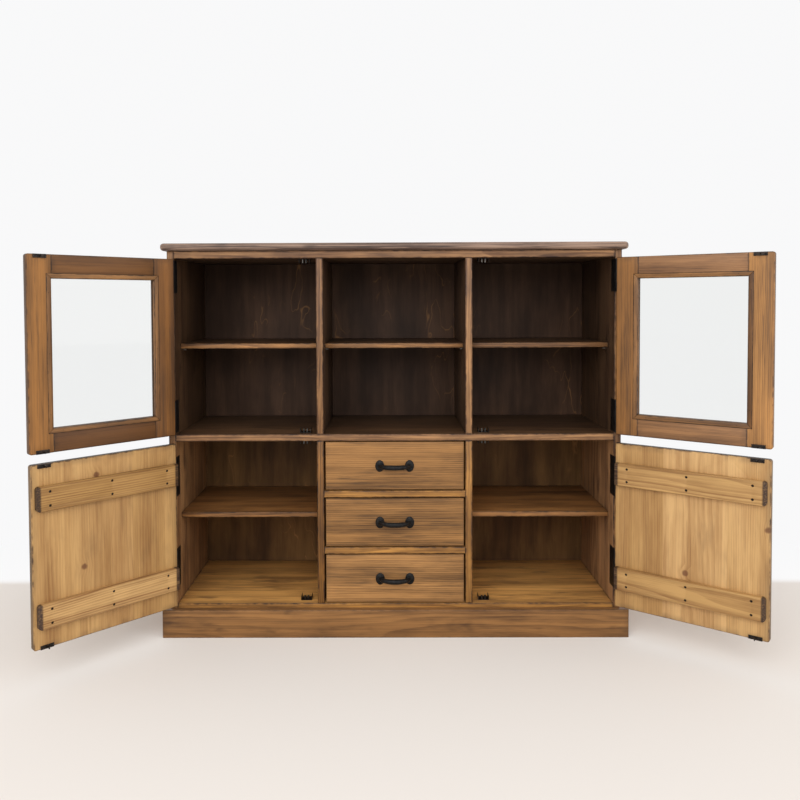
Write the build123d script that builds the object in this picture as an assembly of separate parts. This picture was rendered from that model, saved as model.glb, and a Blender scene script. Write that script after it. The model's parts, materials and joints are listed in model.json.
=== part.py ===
from build123d import *
from math import cos, radians, sin
import os

# A low wooden kitchen cabinet in the mizuya manner: glazed doors above, plank doors below, and
# three drawers in the middle. Millimetres, X to the right, Y to the back, Z up. The origin is on
# the floor, under the middle of the front plinth board. The four doors are modelled standing open.
# Screws, shelf pins and rollers are faceted with SMALL_SIDES sides, knuckles and handles with
# ROUND_SIDES. Places nearer than NEAR count as the same.

# ---- Case ----
CASE_WIDTH = 1170
CASE_DEPTH = 340
CASE_HEIGHT = 1001
SIDE_THICKNESS = 18
DIVIDER_THICKNESS = 18
MID_SHELF_THICKNESS = 18
BOTTOM_THICKNESS = 18
TOP_PANEL_THICKNESS = 20
MIDDLE_BAY_WIDTH = 367
BOTTOM_UNDERSIDE = 65
MID_SHELF_UNDERSIDE = 508
ARRIS = 1.5
SMALL_SIDES = 8
ROUND_SIDES = 12
NEAR = 0.01

TOP_BOARD_THICKNESS = 19
TOP_OVERHANG = 15
TOP_CORNER_RADIUS = 12
TOP_NOSE_RADIUS = 8

BACK_THICKNESS = 5.5
BACK_INSET = 1
BACK_REBATE_WIDTH = 8
BACK_FIT = 0.3

PLINTH_THICKNESS = 18
PLINTH_HEIGHT = 72
PLINTH_ARRIS = 3

# ---- Loose shelves and the pins that carry them ----
SHELF_THICKNESS = 14
SHELF_END_GAP = 0.5
SHELF_REAR_GAP = 3
UPPER_SHELF_RISE = 219.5
LOWER_SHELF_RISE = 214
UPPER_SHELF_SETBACK = 55
LOWER_SHELF_SETBACK = 45
PIN_RADIUS = 3
PIN_DEPTH = 8
PIN_REACH = 7
PIN_FIT = 0.05
PIN_SEAT = 0.1
PIN_FROM_EDGE = 35

# ---- Drawers ----
DRAWER_COUNT = 3
RAIL_THICKNESS = 18
RAIL_DEPTH = 60
RUNNER_WIDTH = 20
DRAWER_FRONT_THICKNESS = 18
DRAWER_SIDE_GAP = 4
DRAWER_TOP_GAP = 2.5
DRAWER_FRONT_ARRIS = 3
DRAWER_WALL = 12
DRAWER_WALL_HEIGHT = 106
DRAWER_BOX_GAP = 5
DRAWER_REAR_GAP = 0.5
DRAWER_RUN_GAP = 0.3
DRAWER_BOTTOM_THICKNESS = 4
DRAWER_BOTTOM_RISE = 8
DRAWER_GROOVE_DEPTH = 6
GROOVE_FIT = 0.1

# ---- Doors ----
DOOR_THICKNESS = 18
DOOR_GAP = 2
DOOR_CORNER_RADIUS = 6
DOOR_ARRIS = 2.5
OPEN_ANGLES = {"upper_left": 135.3, "lower_left": 134.6, "upper_right": 144.7, "lower_right": 143.5}

FRAME_WIDTH = 55
GLAZING_REBATE = 12
GLAZING_LIP = 6
GLASS_THICKNESS = 3
GLASS_FIT = 0.3

HINGE_PLANK_WIDTH = 121
FREE_PLANK_WIDTH = 92.5
BATTEN_HEIGHT = 56
BATTEN_THICKNESS = 15
BATTEN_HINGE_SETBACK = 4
BATTEN_FREE_SETBACK = 7.5
BATTEN_END_RADIUS = 7
BATTEN_END_BEVEL = 7
BATTEN_INSET = 77
SCREW_FROM_HINGE_END = 31
SCREW_FROM_FREE_END = 29
SCREW_SPREAD = 16
SCREW_HEAD_RADIUS = 3.2
SCREW_TIP_RADIUS = 1.2
SCREW_RECESS = 1.5
SCREW_LENGTH = 22
SCREW_FIT = 0.05

# ---- Butt hinges ----
KNUCKLE_RADIUS = 4
KNUCKLE_COUNT = 3
KNUCKLE_GAP = 0.3
KNUCKLE_STANDOFF = 0.5
HINGE_PIN_RADIUS = 2
HINGE_PIN_FIT = 0.05
LEAF_THICKNESS = 1.6
CASE_LEAF_WIDTH = 33
DOOR_LEAF_WIDTH = 16
LEAF_NOTCH = 0.4
UPPER_HINGE_LENGTH = 84
UPPER_HINGE_INSET = 2.5
LOWER_HINGE_LENGTH = 104
LOWER_HINGE_INSET = 39

# ---- Roller catches and their strikes ----
CATCH_FROM_FREE_EDGE = 29.5
CATCH_WIDTH = 28
CATCH_LENGTH = 25
CATCH_HEIGHT = 11
CATCH_SHEET = 1.2
CATCH_SETBACK = 0.8
ROLLER_RADIUS = 2.8
ROLLER_SPACING = 8.6
ROLLER_SETBACK = 6
ROLLER_SEAT = 0.1
STRIKE_WIDTH = 30
STRIKE_HEIGHT = 9
STRIKE_THICKNESS = 1.5
SPEAR_LENGTH = 13
SPEAR_NECK = 2.2
SPEAR_TIP = 1.2
SPEAR_HEIGHT = 5

# ---- Forged handles ----
HANDLE_SPAN = 77
HANDLE_REACH = 26
HANDLE_BOW = 2.6
GRIP_ANGLES = (1.5, 25, 58)
GRIP_END_RADIUS = 5.6
GRIP_MIDDLE_RADIUS = 6.6
FOOT_WIDTH = 23.5
FOOT_HEIGHT = 30.5
FOOT_RIM = 1.2
FOOT_DOME = 3
FOOT_CROWN_INSET = 3.5
DOOR_HANDLE_FROM_FREE_EDGE = 27.5

# ---- Places worked out from the sizes ----
FRONT = PLINTH_THICKNESS / 2
REAR = FRONT + CASE_DEPTH
BACK_FACE = REAR - BACK_INSET - BACK_THICKNESS
HALF_CASE = CASE_WIDTH / 2
INNER_SIDE = HALF_CASE - SIDE_THICKNESS
BOTTOM_TOP = BOTTOM_UNDERSIDE + BOTTOM_THICKNESS
MID_SHELF_TOP = MID_SHELF_UNDERSIDE + MID_SHELF_THICKNESS
CEILING = CASE_HEIGHT - TOP_PANEL_THICKNESS
HALF_MIDDLE_BAY = MIDDLE_BAY_WIDTH / 2
DIVIDER_OUTSIDE = HALF_MIDDLE_BAY + DIVIDER_THICKNESS
UPPER_SHELF_Z = MID_SHELF_TOP + UPPER_SHELF_RISE
LOWER_SHELF_Z = BOTTOM_TOP + LOWER_SHELF_RISE
LEFT_BAY = (-INNER_SIDE, -DIVIDER_OUTSIDE)
MIDDLE_BAY = (-HALF_MIDDLE_BAY, HALF_MIDDLE_BAY)
RIGHT_BAY = (DIVIDER_OUTSIDE, INNER_SIDE)

DRAWER_OPENING = (
    MID_SHELF_UNDERSIDE - BOTTOM_TOP - (DRAWER_COUNT - 1) * RAIL_THICKNESS
) / DRAWER_COUNT
DRAWER_PITCH = DRAWER_OPENING + RAIL_THICKNESS

HINGE_EDGE = INNER_SIDE - DOOR_GAP
DOOR_WIDTH = INNER_SIDE - DIVIDER_OUTSIDE - 2 * DOOR_GAP
DOOR_BACK = FRONT + DOOR_THICKNESS
AXIS_X = INNER_SIDE + KNUCKLE_RADIUS
AXIS_Y = FRONT - KNUCKLE_STANDOFF - KNUCKLE_RADIUS
CATCH_X = HINGE_EDGE - DOOR_WIDTH + CATCH_FROM_FREE_EDGE
UPPER_DOOR = (MID_SHELF_TOP + DOOR_GAP, CEILING - DOOR_GAP)
LOWER_DOOR = (BOTTOM_TOP + DOOR_GAP, MID_SHELF_UNDERSIDE - DOOR_GAP)


def block(x, y, z):
    """A square-edged solid that fills three (low, high) ranges."""
    size = [high - low for low, high in (x, y, z)]
    middle = [(high + low) / 2 for low, high in (x, y, z)]
    return Pos(*middle) * Box(*size)


def ease_front(solid, along=Axis.X):
    """Take off the two long arrises of a board's front edge."""
    front = solid.faces().sort_by(Axis.Y)[0]
    return chamfer(front.edges().filter_by(along), ARRIS)


def rod(radius, length, sides):
    """A faceted rod along Z, about the origin."""
    return extrude(RegularPolygon(radius, sides), length / 2, both=True)


def following(corners):
    """The corner after each of a ring of corners."""
    return corners[1:] + corners[:1]


def ring(plane, sides, half_width, half_height):
    """The corners of a faceted oval about a plane's origin."""
    turns = [radians(360 * side / sides) for side in range(sides)]
    return [plane.from_local_coords((half_width * cos(turn), half_height * sin(turn), 0))
            for turn in turns]


def through_rings(rings):
    """A flat-faced solid through rings that have as many corners each."""
    outlines = [rings[0], rings[-1]]
    for near, far in zip(rings, rings[1:]):
        for start, end, beyond, across in zip(near, following(near), following(far), far):
            outlines += [(start, end, beyond), (start, beyond, across)]
    faces = [Face(Wire.make_polygon(outline)) for outline in outlines]
    return Solid(Shell(faces)).clean()


def mirrored(solids):
    """The same pieces on the other side of the cabinet."""
    return [mirror(solid, about=Plane.YZ) for solid in solids]


# ---- Case ----
def hinge_spans(door, length, inset):
    """The heights that a door's two hinges cover, the upper one first."""
    low, high = door
    return (high - inset - length, high - inset), (low + inset, low + inset + length)


UPPER_HINGES = hinge_spans(UPPER_DOOR, UPPER_HINGE_LENGTH, UPPER_HINGE_INSET)
LOWER_HINGES = hinge_spans(LOWER_DOOR, LOWER_HINGE_LENGTH, LOWER_HINGE_INSET)


def shelf_depth_range(setback):
    return FRONT + setback, BACK_FACE - SHELF_REAR_GAP


def pin_places(bay, shelf_z, setback):
    """The wall, side and depth of the four pins under one loose shelf."""
    front, rear = shelf_depth_range(setback)
    height = shelf_z - PIN_SEAT - PIN_RADIUS
    for wall, inward in ((bay[0], 1), (bay[1], -1)):
        for depth in (front + PIN_FROM_EDGE, rear - PIN_FROM_EDGE):
            yield wall, inward, depth, height


SHELVES = {
    "shelf_upper_left": (LEFT_BAY, UPPER_SHELF_Z, UPPER_SHELF_SETBACK),
    "shelf_upper_center": (MIDDLE_BAY, UPPER_SHELF_Z, UPPER_SHELF_SETBACK),
    "shelf_upper_right": (RIGHT_BAY, UPPER_SHELF_Z, UPPER_SHELF_SETBACK),
    "shelf_lower_left": (LEFT_BAY, LOWER_SHELF_Z, LOWER_SHELF_SETBACK),
    "shelf_lower_right": (RIGHT_BAY, LOWER_SHELF_Z, LOWER_SHELF_SETBACK),
}
PINS = [place for shelf in SHELVES.values() for place in pin_places(*shelf)]


def peg(place, radius, depth, reach):
    """A round peg across a bay's wall, deep on the wood side and reaching into the bay."""
    wall, inward, y, z = place
    middle = wall + inward * (reach - depth) / 2
    return Pos(middle, y, z) * Rot(0, 90, 0) * rod(radius, depth + reach, SMALL_SIDES)


def bored(board, wall):
    """A board with the pin holes of the bay wall at this X."""
    for place in PINS:
        if abs(place[0] - wall) < NEAR and is_beside(board, place):
            board -= peg(place, PIN_RADIUS + PIN_FIT, PIN_DEPTH + PIN_FIT, PIN_FIT)
    return board


def is_beside(board, place):
    """Whether a pin's height lies within the board's."""
    box = board.bounding_box()
    return box.min.Z < place[3] < box.max.Z


def side_panel_left():
    """The left side, with the back's rebate, the hinge mortises and the pin holes."""
    panel = block((-HALF_CASE, -INNER_SIDE), (FRONT, REAR), (0, CASE_HEIGHT))
    panel = ease_front(panel, along=Axis.Z)
    rebate = (-INNER_SIDE - BACK_REBATE_WIDTH, -INNER_SIDE)
    panel -= block(rebate, (BACK_FACE, REAR), (BOTTOM_UNDERSIDE, CASE_HEIGHT))
    for low, high in UPPER_HINGES + LOWER_HINGES:
        mortise = (-INNER_SIDE - LEAF_THICKNESS, -INNER_SIDE)
        panel -= block(mortise, (FRONT, FRONT + CASE_LEAF_WIDTH), (low, high))
    return bored(panel, -INNER_SIDE)


def top_board():
    """The overhanging top, with a rounded nose along its front and both ends."""
    half = HALF_CASE + TOP_OVERHANG
    board = block((-half, half), (FRONT - TOP_OVERHANG, REAR),
                  (CASE_HEIGHT, CASE_HEIGHT + TOP_BOARD_THICKNESS))
    front = board.faces().sort_by(Axis.Y)[0]
    board = fillet(front.edges().filter_by(Axis.Z), TOP_CORNER_RADIUS)
    upper = board.faces().sort_by(Axis.Z)[-1].edges()
    lower = board.faces().sort_by(Axis.Z)[0].edges()
    nose = [edge for edge in upper + lower if edge.center().Y < REAR - ARRIS]
    return fillet(nose, TOP_NOSE_RADIUS)


def cross_board(half, low, high):
    """A board across the case, from the front to the back panel."""
    return ease_front(block((-half, half), (FRONT, BACK_FACE), (low, high)))


def dividers(low, high):
    """The pair of upright boards beside the middle bay."""
    board = block((-DIVIDER_OUTSIDE, -HALF_MIDDLE_BAY), (FRONT, BACK_FACE), (low, high))
    board = ease_front(board, along=Axis.Z)
    right = mirror(board, about=Plane.YZ)
    pair = [bored(bored(board, -DIVIDER_OUTSIDE), -HALF_MIDDLE_BAY)]
    return pair + [bored(bored(right, DIVIDER_OUTSIDE), HALF_MIDDLE_BAY)]


def back_panel():
    half = INNER_SIDE + BACK_REBATE_WIDTH - BACK_FIT
    depth = (BACK_FACE, BACK_FACE + BACK_THICKNESS)
    return block((-half, half), depth, (BOTTOM_UNDERSIDE, CASE_HEIGHT - BACK_FIT))


def loose_shelf(bay, low, setback):
    span = (bay[0] + SHELF_END_GAP, bay[1] - SHELF_END_GAP)
    board = block(span, shelf_depth_range(setback), (low, low + SHELF_THICKNESS))
    return ease_front(board)


def plinth_front():
    half = HALF_CASE + PLINTH_THICKNESS
    board = block((-half, half), (FRONT - PLINTH_THICKNESS, FRONT), (0, PLINTH_HEIGHT))
    front = board.faces().sort_by(Axis.Y)[0].edges()
    eased = front.filter_by(Axis.Z) + front.filter_by(Axis.X).sort_by(Axis.Z)[-1:]
    return fillet(eased, PLINTH_ARRIS)


def plinth_side():
    span = (-HALF_CASE - PLINTH_THICKNESS, -HALF_CASE)
    board = block(span, (FRONT, REAR), (0, PLINTH_HEIGHT))
    outer = board.faces().sort_by(Axis.X)[0].edges().filter_by(Axis.Y)
    return fillet(outer.sort_by(Axis.Z)[-1], PLINTH_ARRIS)


# ---- Drawers ----
def opening_floor(level):
    """The height of the surface that the drawer at this level runs on, 0 being the lowest."""
    return BOTTOM_TOP + level * DRAWER_PITCH


def drawer_rails():
    floors = [opening_floor(level) for level in range(1, DRAWER_COUNT)]
    depth = (FRONT, FRONT + RAIL_DEPTH)
    rails = [block(MIDDLE_BAY, depth, (floor - RAIL_THICKNESS, floor)) for floor in floors]
    return [ease_front(rail) for rail in rails]


def drawer_runners():
    """The strips behind the rails that the drawers' side walls slide on."""
    strips = []
    for level in range(1, DRAWER_COUNT):
        floor = opening_floor(level)
        span = (-HALF_MIDDLE_BAY, RUNNER_WIDTH - HALF_MIDDLE_BAY)
        strips.append(block(span, (FRONT + RAIL_DEPTH, BACK_FACE), (floor - RAIL_THICKNESS, floor)))
    return strips + mirrored(strips)


def drawer_front(floor):
    half = HALF_MIDDLE_BAY - DRAWER_SIDE_GAP
    height = (floor + DRAWER_TOP_GAP, floor + DRAWER_OPENING - DRAWER_TOP_GAP)
    board = block((-half, half), (FRONT, FRONT + DRAWER_FRONT_THICKNESS), height)
    return fillet(board.faces().sort_by(Axis.Y)[0].edges(), DRAWER_FRONT_ARRIS)


def drawer_box(floor):
    """Two side walls, grooved for the bottom, and the back wall between them."""
    half = HALF_MIDDLE_BAY - DRAWER_BOX_GAP
    front = FRONT + DRAWER_FRONT_THICKNESS
    rear = BACK_FACE - DRAWER_REAR_GAP
    low = floor + DRAWER_RUN_GAP
    bottom = low + DRAWER_BOTTOM_RISE
    wall = block((-half, DRAWER_WALL - half), (front, rear), (low, low + DRAWER_WALL_HEIGHT))
    groove = (DRAWER_WALL - half - DRAWER_GROOVE_DEPTH, DRAWER_WALL - half)
    wall -= block(groove, (front, rear), (bottom, bottom + DRAWER_BOTTOM_THICKNESS))
    across = (DRAWER_WALL - half, half - DRAWER_WALL)
    back = block(across, (rear - DRAWER_WALL, rear),
                 (bottom + DRAWER_BOTTOM_THICKNESS, low + DRAWER_WALL_HEIGHT))
    return [wall, mirror(wall, about=Plane.YZ), back]


def drawer_bottom(floor):
    low = floor + DRAWER_RUN_GAP + DRAWER_BOTTOM_RISE
    half = HALF_MIDDLE_BAY - DRAWER_BOX_GAP - DRAWER_WALL + DRAWER_GROOVE_DEPTH - GROOVE_FIT
    depth = (FRONT + DRAWER_FRONT_THICKNESS, BACK_FACE - DRAWER_REAR_GAP)
    return block((-half, half), depth, (low, low + DRAWER_BOTTOM_THICKNESS))


# ---- Handles ----
def grip_point(angle):
    """Where the middle of the bowed grip is at this angle round the bow, 90 being its front."""
    across = cos(radians(angle))
    out = sin(radians(angle)) ** (2 / HANDLE_BOW)
    side = 1 if across > 0 else -1
    return Vector(side * HANDLE_SPAN / 2 * abs(across) ** (2 / HANDLE_BOW), -HANDLE_REACH * out, 0)


def grip_ring(angle):
    """The corners of the grip's section here, square to its line and thickest at the front."""
    step = 1
    heading = grip_point(angle + step) - grip_point(angle - step)
    plane = Plane(origin=grip_point(angle), x_dir=(0, 0, 1), z_dir=heading)
    radius = GRIP_END_RADIUS + (GRIP_MIDDLE_RADIUS - GRIP_END_RADIUS) * sin(radians(angle))
    return ring(plane, ROUND_SIDES, radius, radius)


def foot_ring(side, rise, inset):
    """The corners of a foot's outline at a height above the face that it stands on."""
    plane = Plane(origin=(side * HANDLE_SPAN / 2, -rise, 0), x_dir=(1, 0, 0), z_dir=(0, -1, 0))
    return ring(plane, ROUND_SIDES, FOOT_WIDTH / 2 - inset, FOOT_HEIGHT / 2 - inset)


def forged_handle():
    """A bowed grip that swells to its middle, on two domed feet.

    The feet lie on the plane Y = 0 and the grip bows out towards -Y.
    """
    other = [180 - angle for angle in reversed(GRIP_ANGLES)]
    handle = through_rings([grip_ring(angle) for angle in (*GRIP_ANGLES, 90, *other)])
    for side in (-1, 1):
        handle += through_rings([foot_ring(side, 0, 0), foot_ring(side, FOOT_RIM, 0),
                                 foot_ring(side, FOOT_RIM + FOOT_DOME, FOOT_CROWN_INSET)])
    return handle


HANDLE = forged_handle()


# ---- Doors, modelled closed on the left and moved to where they stand ----
def door_slab(door):
    """A closed left door's full outline, with its corners and arrises softened."""
    x = (-HINGE_EDGE, DOOR_WIDTH - HINGE_EDGE)
    slab = block(x, (FRONT, DOOR_BACK), door)
    free = slab.faces().sort_by(Axis.X)[-1].edges().filter_by(Axis.Y)
    slab = fillet(free, DOOR_CORNER_RADIUS)
    outline = slab.faces().sort_by(Axis.Y)[0].edges() + slab.faces().sort_by(Axis.Y)[-1].edges()
    return chamfer(outline, DOOR_ARRIS)


def door_frame(door):
    """The two stiles and two rails of a glazed door, rebated inside for the glass."""
    low, high = door
    near, far = -HINGE_EDGE, DOOR_WIDTH - HINGE_EDGE
    back = FRAME_WIDTH - GLAZING_REBATE
    slab = door_slab(door)
    slab -= block((near + FRAME_WIDTH, far - FRAME_WIDTH), (FRONT, DOOR_BACK),
                  (low + FRAME_WIDTH, high - FRAME_WIDTH))
    slab -= block((near + back, far - back), (FRONT + GLAZING_LIP, DOOR_BACK),
                  (low + back, high - back))
    middle = (near + FRAME_WIDTH, far - FRAME_WIDTH)
    stiles = slab - block(middle, (FRONT, DOOR_BACK), door)
    rails = slab & block(middle, (FRONT, DOOR_BACK), door)
    return stiles.solids(), rails.solids()


def glass_pane(door):
    edge = FRAME_WIDTH - GLAZING_REBATE + GLASS_FIT
    lip = FRONT + GLAZING_LIP
    x = (edge - HINGE_EDGE, DOOR_WIDTH - HINGE_EDGE - edge)
    return block(x, (lip, lip + GLASS_THICKNESS), (door[0] + edge, door[1] - edge))


def glazing_beads(door):
    """Four mitred strips that hold the glass, flush with the door's inner face."""
    near, far = -HINGE_EDGE, DOOR_WIDTH - HINGE_EDGE
    outer, inner = [
        [(near + edge, door[0] + edge), (far - edge, door[0] + edge),
         (far - edge, door[1] - edge), (near + edge, door[1] - edge)]
        for edge in (FRAME_WIDTH - GLAZING_REBATE, FRAME_WIDTH)
    ]
    glass_back = FRONT + GLAZING_LIP + GLASS_THICKNESS
    plane = Plane(origin=(0, glass_back, 0), x_dir=(1, 0, 0), z_dir=(0, -1, 0))
    strips = []
    for outline in zip(outer, following(outer), following(inner), inner):
        strip = plane * make_face(Polyline(*outline, close=True))
        strips.append(extrude(strip, glass_back - DOOR_BACK))
    return strips


def planks(door):
    """The boards of a plank door, jointed edge to edge."""
    near, far = -HINGE_EDGE, DOOR_WIDTH - HINGE_EDGE
    seams = (near + HINGE_PLANK_WIDTH, far - FREE_PLANK_WIDTH)
    slab = door_slab(door)
    return [slab & block((start, end), (FRONT, DOOR_BACK), door)
            for start, end in zip((near, *seams), (*seams, far))]


def batten_heights(door):
    return door[0] + BATTEN_INSET, door[1] - BATTEN_INSET


def batten_span():
    return BATTEN_HINGE_SETBACK - HINGE_EDGE, DOOR_WIDTH - HINGE_EDGE - BATTEN_FREE_SETBACK


def screw_places(door):
    """Pairs of screws near both ends and in the middle of each batten."""
    start, end = batten_span()
    for height in batten_heights(door):
        for x in (start + SCREW_FROM_HINGE_END, (start + end) / 2, end - SCREW_FROM_FREE_END):
            for side in (-1, 1):
                yield x, height + side * SCREW_SPREAD


def peg_into_batten(place, outline):
    """A faceted peg square to a batten's face, through a list of depths and radii."""
    rings = []
    for depth, radius in outline:
        origin = (place[0], DOOR_BACK + BATTEN_THICKNESS - depth, place[1])
        rings.append(ring(Plane(origin=origin, z_dir=(0, -1, 0)), SMALL_SIDES, radius, radius))
    return through_rings(rings)


def screw(place):
    """A tapered screw, sunk in a batten and driven on into the planks."""
    return peg_into_batten(place, ((SCREW_RECESS, SCREW_HEAD_RADIUS),
                                   (SCREW_RECESS + SCREW_LENGTH, SCREW_TIP_RADIUS)))


def screw_hole(place):
    """The screw's hole, with a little room round it and the recess over its head."""
    head = SCREW_HEAD_RADIUS + SCREW_FIT
    return peg_into_batten(place, ((0, head), (SCREW_RECESS, head),
                                   (SCREW_RECESS + SCREW_LENGTH + SCREW_FIT,
                                    SCREW_TIP_RADIUS + SCREW_FIT)))


def batten(height):
    """A cross batten whose free end has round corners and a broad bevel."""
    near, far = batten_span()
    face = DOOR_BACK + BATTEN_THICKNESS
    low, high = height - BATTEN_HEIGHT / 2, height + BATTEN_HEIGHT / 2
    outline = block((near, far), (DOOR_BACK, face), (low, high))
    end = outline.faces().sort_by(Axis.X)[-1].edges().filter_by(Axis.Y)
    profile = ((near, DOOR_BACK), (far, DOOR_BACK), (far, face - BATTEN_END_BEVEL),
               (far - BATTEN_END_BEVEL, face), (near, face))
    bevelled = extrude(Plane.XY.offset(low) * make_face(Polyline(*profile, close=True)), high - low)
    strip = fillet(end, BATTEN_END_RADIUS) & bevelled
    long_edges = strip.faces().sort_by(Axis.Y)[-1].edges().filter_by(Axis.X)
    return chamfer(long_edges, ARRIS)


def battens(door):
    """The two cross battens on a plank door's inner face, bored for their screws."""
    pieces = []
    for height in batten_heights(door):
        strip = batten(height)
        for place in screw_places(door):
            if abs(place[1] - height) < BATTEN_HEIGHT / 2:
                strip -= screw_hole(place)
        pieces.append(strip)
    return pieces


def lower_door_planks(door):
    boards = planks(door)
    for place in screw_places(door):
        hole = screw_hole(place)
        boards = [board - hole if crosses(board, place) else board for board in boards]
    return boards


def crosses(board, place):
    box = board.bounding_box()
    return box.min.X - SCREW_HEAD_RADIUS < place[0] < box.max.X + SCREW_HEAD_RADIUS


# ---- Hinges ----
def knuckle_spans(span, first):
    """The heights of every second knuckle of a hinge."""
    low, high = span
    length = (high - low - (KNUCKLE_COUNT - 1) * KNUCKLE_GAP) / KNUCKLE_COUNT
    pitch = length + KNUCKLE_GAP
    starts = [low + index * pitch for index in range(first, KNUCKLE_COUNT, 2)]
    return [(start, start + length) for start in starts]


def on_axis(solid, span):
    """A solid stood on the hinge axis, in the middle of these heights."""
    return Pos(-AXIS_X, AXIS_Y, sum(span) / 2) * solid


def barrel(span):
    return on_axis(rod(KNUCKLE_RADIUS, span[1] - span[0], ROUND_SIDES), span)


def case_leaf(span):
    """A leaf let in flush with the side panel, its knuckles, and the round pin fast in them."""
    sheet = (-INNER_SIDE - LEAF_THICKNESS, -INNER_SIDE)
    leaf = block(sheet, (FRONT, FRONT + CASE_LEAF_WIDTH), span)
    for knuckle in knuckle_spans(span, 0):
        leaf += block(sheet, (AXIS_Y, FRONT), knuckle) + barrel(knuckle)
    return leaf + on_axis(Cylinder(HINGE_PIN_RADIUS, span[1] - span[0]), span)


def door_leaf(span):
    """A leaf on the door's hinge edge, and its knuckles between those of the case leaf."""
    sheet = (-HINGE_EDGE - LEAF_THICKNESS, -HINGE_EDGE)
    leaf = block(sheet, (FRONT + LEAF_NOTCH, FRONT + DOOR_LEAF_WIDTH), span)
    arm = (AXIS_Y - LEAF_THICKNESS, AXIS_Y)
    for knuckle in knuckle_spans(span, 1):
        leaf += block(sheet, (AXIS_Y - LEAF_THICKNESS, FRONT + LEAF_NOTCH), knuckle)
        leaf += block((-AXIS_X, -HINGE_EDGE), arm, knuckle) + barrel(knuckle)
    return leaf - on_axis(Cylinder(HINGE_PIN_RADIUS + HINGE_PIN_FIT, span[1] - span[0]), span)


# ---- Catches ----
def catch_frame(surface, away):
    """A folded base with two low cheeks, on a surface that the catch stands away from."""
    front = DOOR_BACK + STRIKE_THICKNESS + CATCH_SETBACK
    depth = (front, front + CATCH_LENGTH)
    left, right = -CATCH_X - CATCH_WIDTH / 2, -CATCH_X + CATCH_WIDTH / 2
    frame = block((left, right), depth, sorted((surface, surface + away * CATCH_SHEET)))
    for cheek in ((left, left + CATCH_SHEET), (right - CATCH_SHEET, right)):
        frame += block(cheek, depth, sorted((surface, surface + away * CATCH_HEIGHT)))
    return frame


def catch_rollers(surface, away):
    depth = DOOR_BACK + STRIKE_THICKNESS + CATCH_SETBACK + ROLLER_SETBACK
    foot = surface + away * (CATCH_SHEET + ROLLER_SEAT)
    middle = (foot + surface + away * CATCH_HEIGHT) / 2
    height = CATCH_HEIGHT - CATCH_SHEET - ROLLER_SEAT
    roller = rod(ROLLER_RADIUS, height, SMALL_SIDES)
    return [Pos(side * ROLLER_SPACING / 2 - CATCH_X, depth, middle) * roller for side in (-1, 1)]


def strike(edge, inward):
    """A plate at a door's upper or lower edge, with the spear that the rollers hold."""
    plate = block((-CATCH_X - STRIKE_WIDTH / 2, -CATCH_X + STRIKE_WIDTH / 2),
                  (DOOR_BACK, DOOR_BACK + STRIKE_THICKNESS),
                  sorted((edge, edge + inward * STRIKE_HEIGHT)))
    root = DOOR_BACK + STRIKE_THICKNESS
    middle = edge + inward * STRIKE_HEIGHT / 2
    neck, tip = SPEAR_NECK / 2, SPEAR_TIP / 2
    shoulder = root + CATCH_SETBACK + ROLLER_SETBACK
    outline = ((-neck, DOOR_BACK), (neck, DOOR_BACK), (neck, shoulder), (tip, root + SPEAR_LENGTH),
               (-tip, root + SPEAR_LENGTH), (-neck, shoulder))
    face = Plane.XY.offset(middle - SPEAR_HEIGHT / 2) * make_face(Polyline(*outline, close=True))
    return plate + Pos(-CATCH_X, 0, 0) * extrude(face, SPEAR_HEIGHT)


CATCH_SEATS = ((MID_SHELF_TOP, 1), (CEILING, -1), (BOTTOM_TOP, 1), (MID_SHELF_UNDERSIDE, -1))


# ---- Putting the doors where they stand ----
def opened(solids, name):
    """Closed left-hand pieces, mirrored if the door is on the right, and swung open."""
    side = -1
    if name.endswith("right"):
        solids = mirrored(solids)
        side = 1
    axis = Axis((side * AXIS_X, AXIS_Y, 0), (0, 0, 1))
    return [solid.rotate(axis, side * OPEN_ANGLES[name]) for solid in solids]


def door_handle(door):
    x = DOOR_WIDTH - HINGE_EDGE - DOOR_HANDLE_FROM_FREE_EDGE
    return Pos(x, FRONT, sum(door) / 2) * Rot(0, 90, 0) * HANDLE


def shared_door_parts(door, hinges):
    """The pieces that glazed and plank doors have alike."""
    return {
        "hinge_leaves": [door_leaf(span) for span in hinges],
        "strikes": [strike(door[0], 1), strike(door[1], -1)],
        "handle": [door_handle(door)],
    }


def upper_door_parts():
    stiles, rails = door_frame(UPPER_DOOR)
    parts = {
        "stiles": stiles,
        "rails": rails,
        "glass": [glass_pane(UPPER_DOOR)],
        "beads": glazing_beads(UPPER_DOOR),
    }
    return parts | shared_door_parts(UPPER_DOOR, UPPER_HINGES)


def lower_door_parts():
    parts = {
        "planks": lower_door_planks(LOWER_DOOR),
        "battens": battens(LOWER_DOOR),
        "batten_screws": [screw(place) for place in screw_places(LOWER_DOOR)],
    }
    return parts | shared_door_parts(LOWER_DOOR, LOWER_HINGES)


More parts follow.
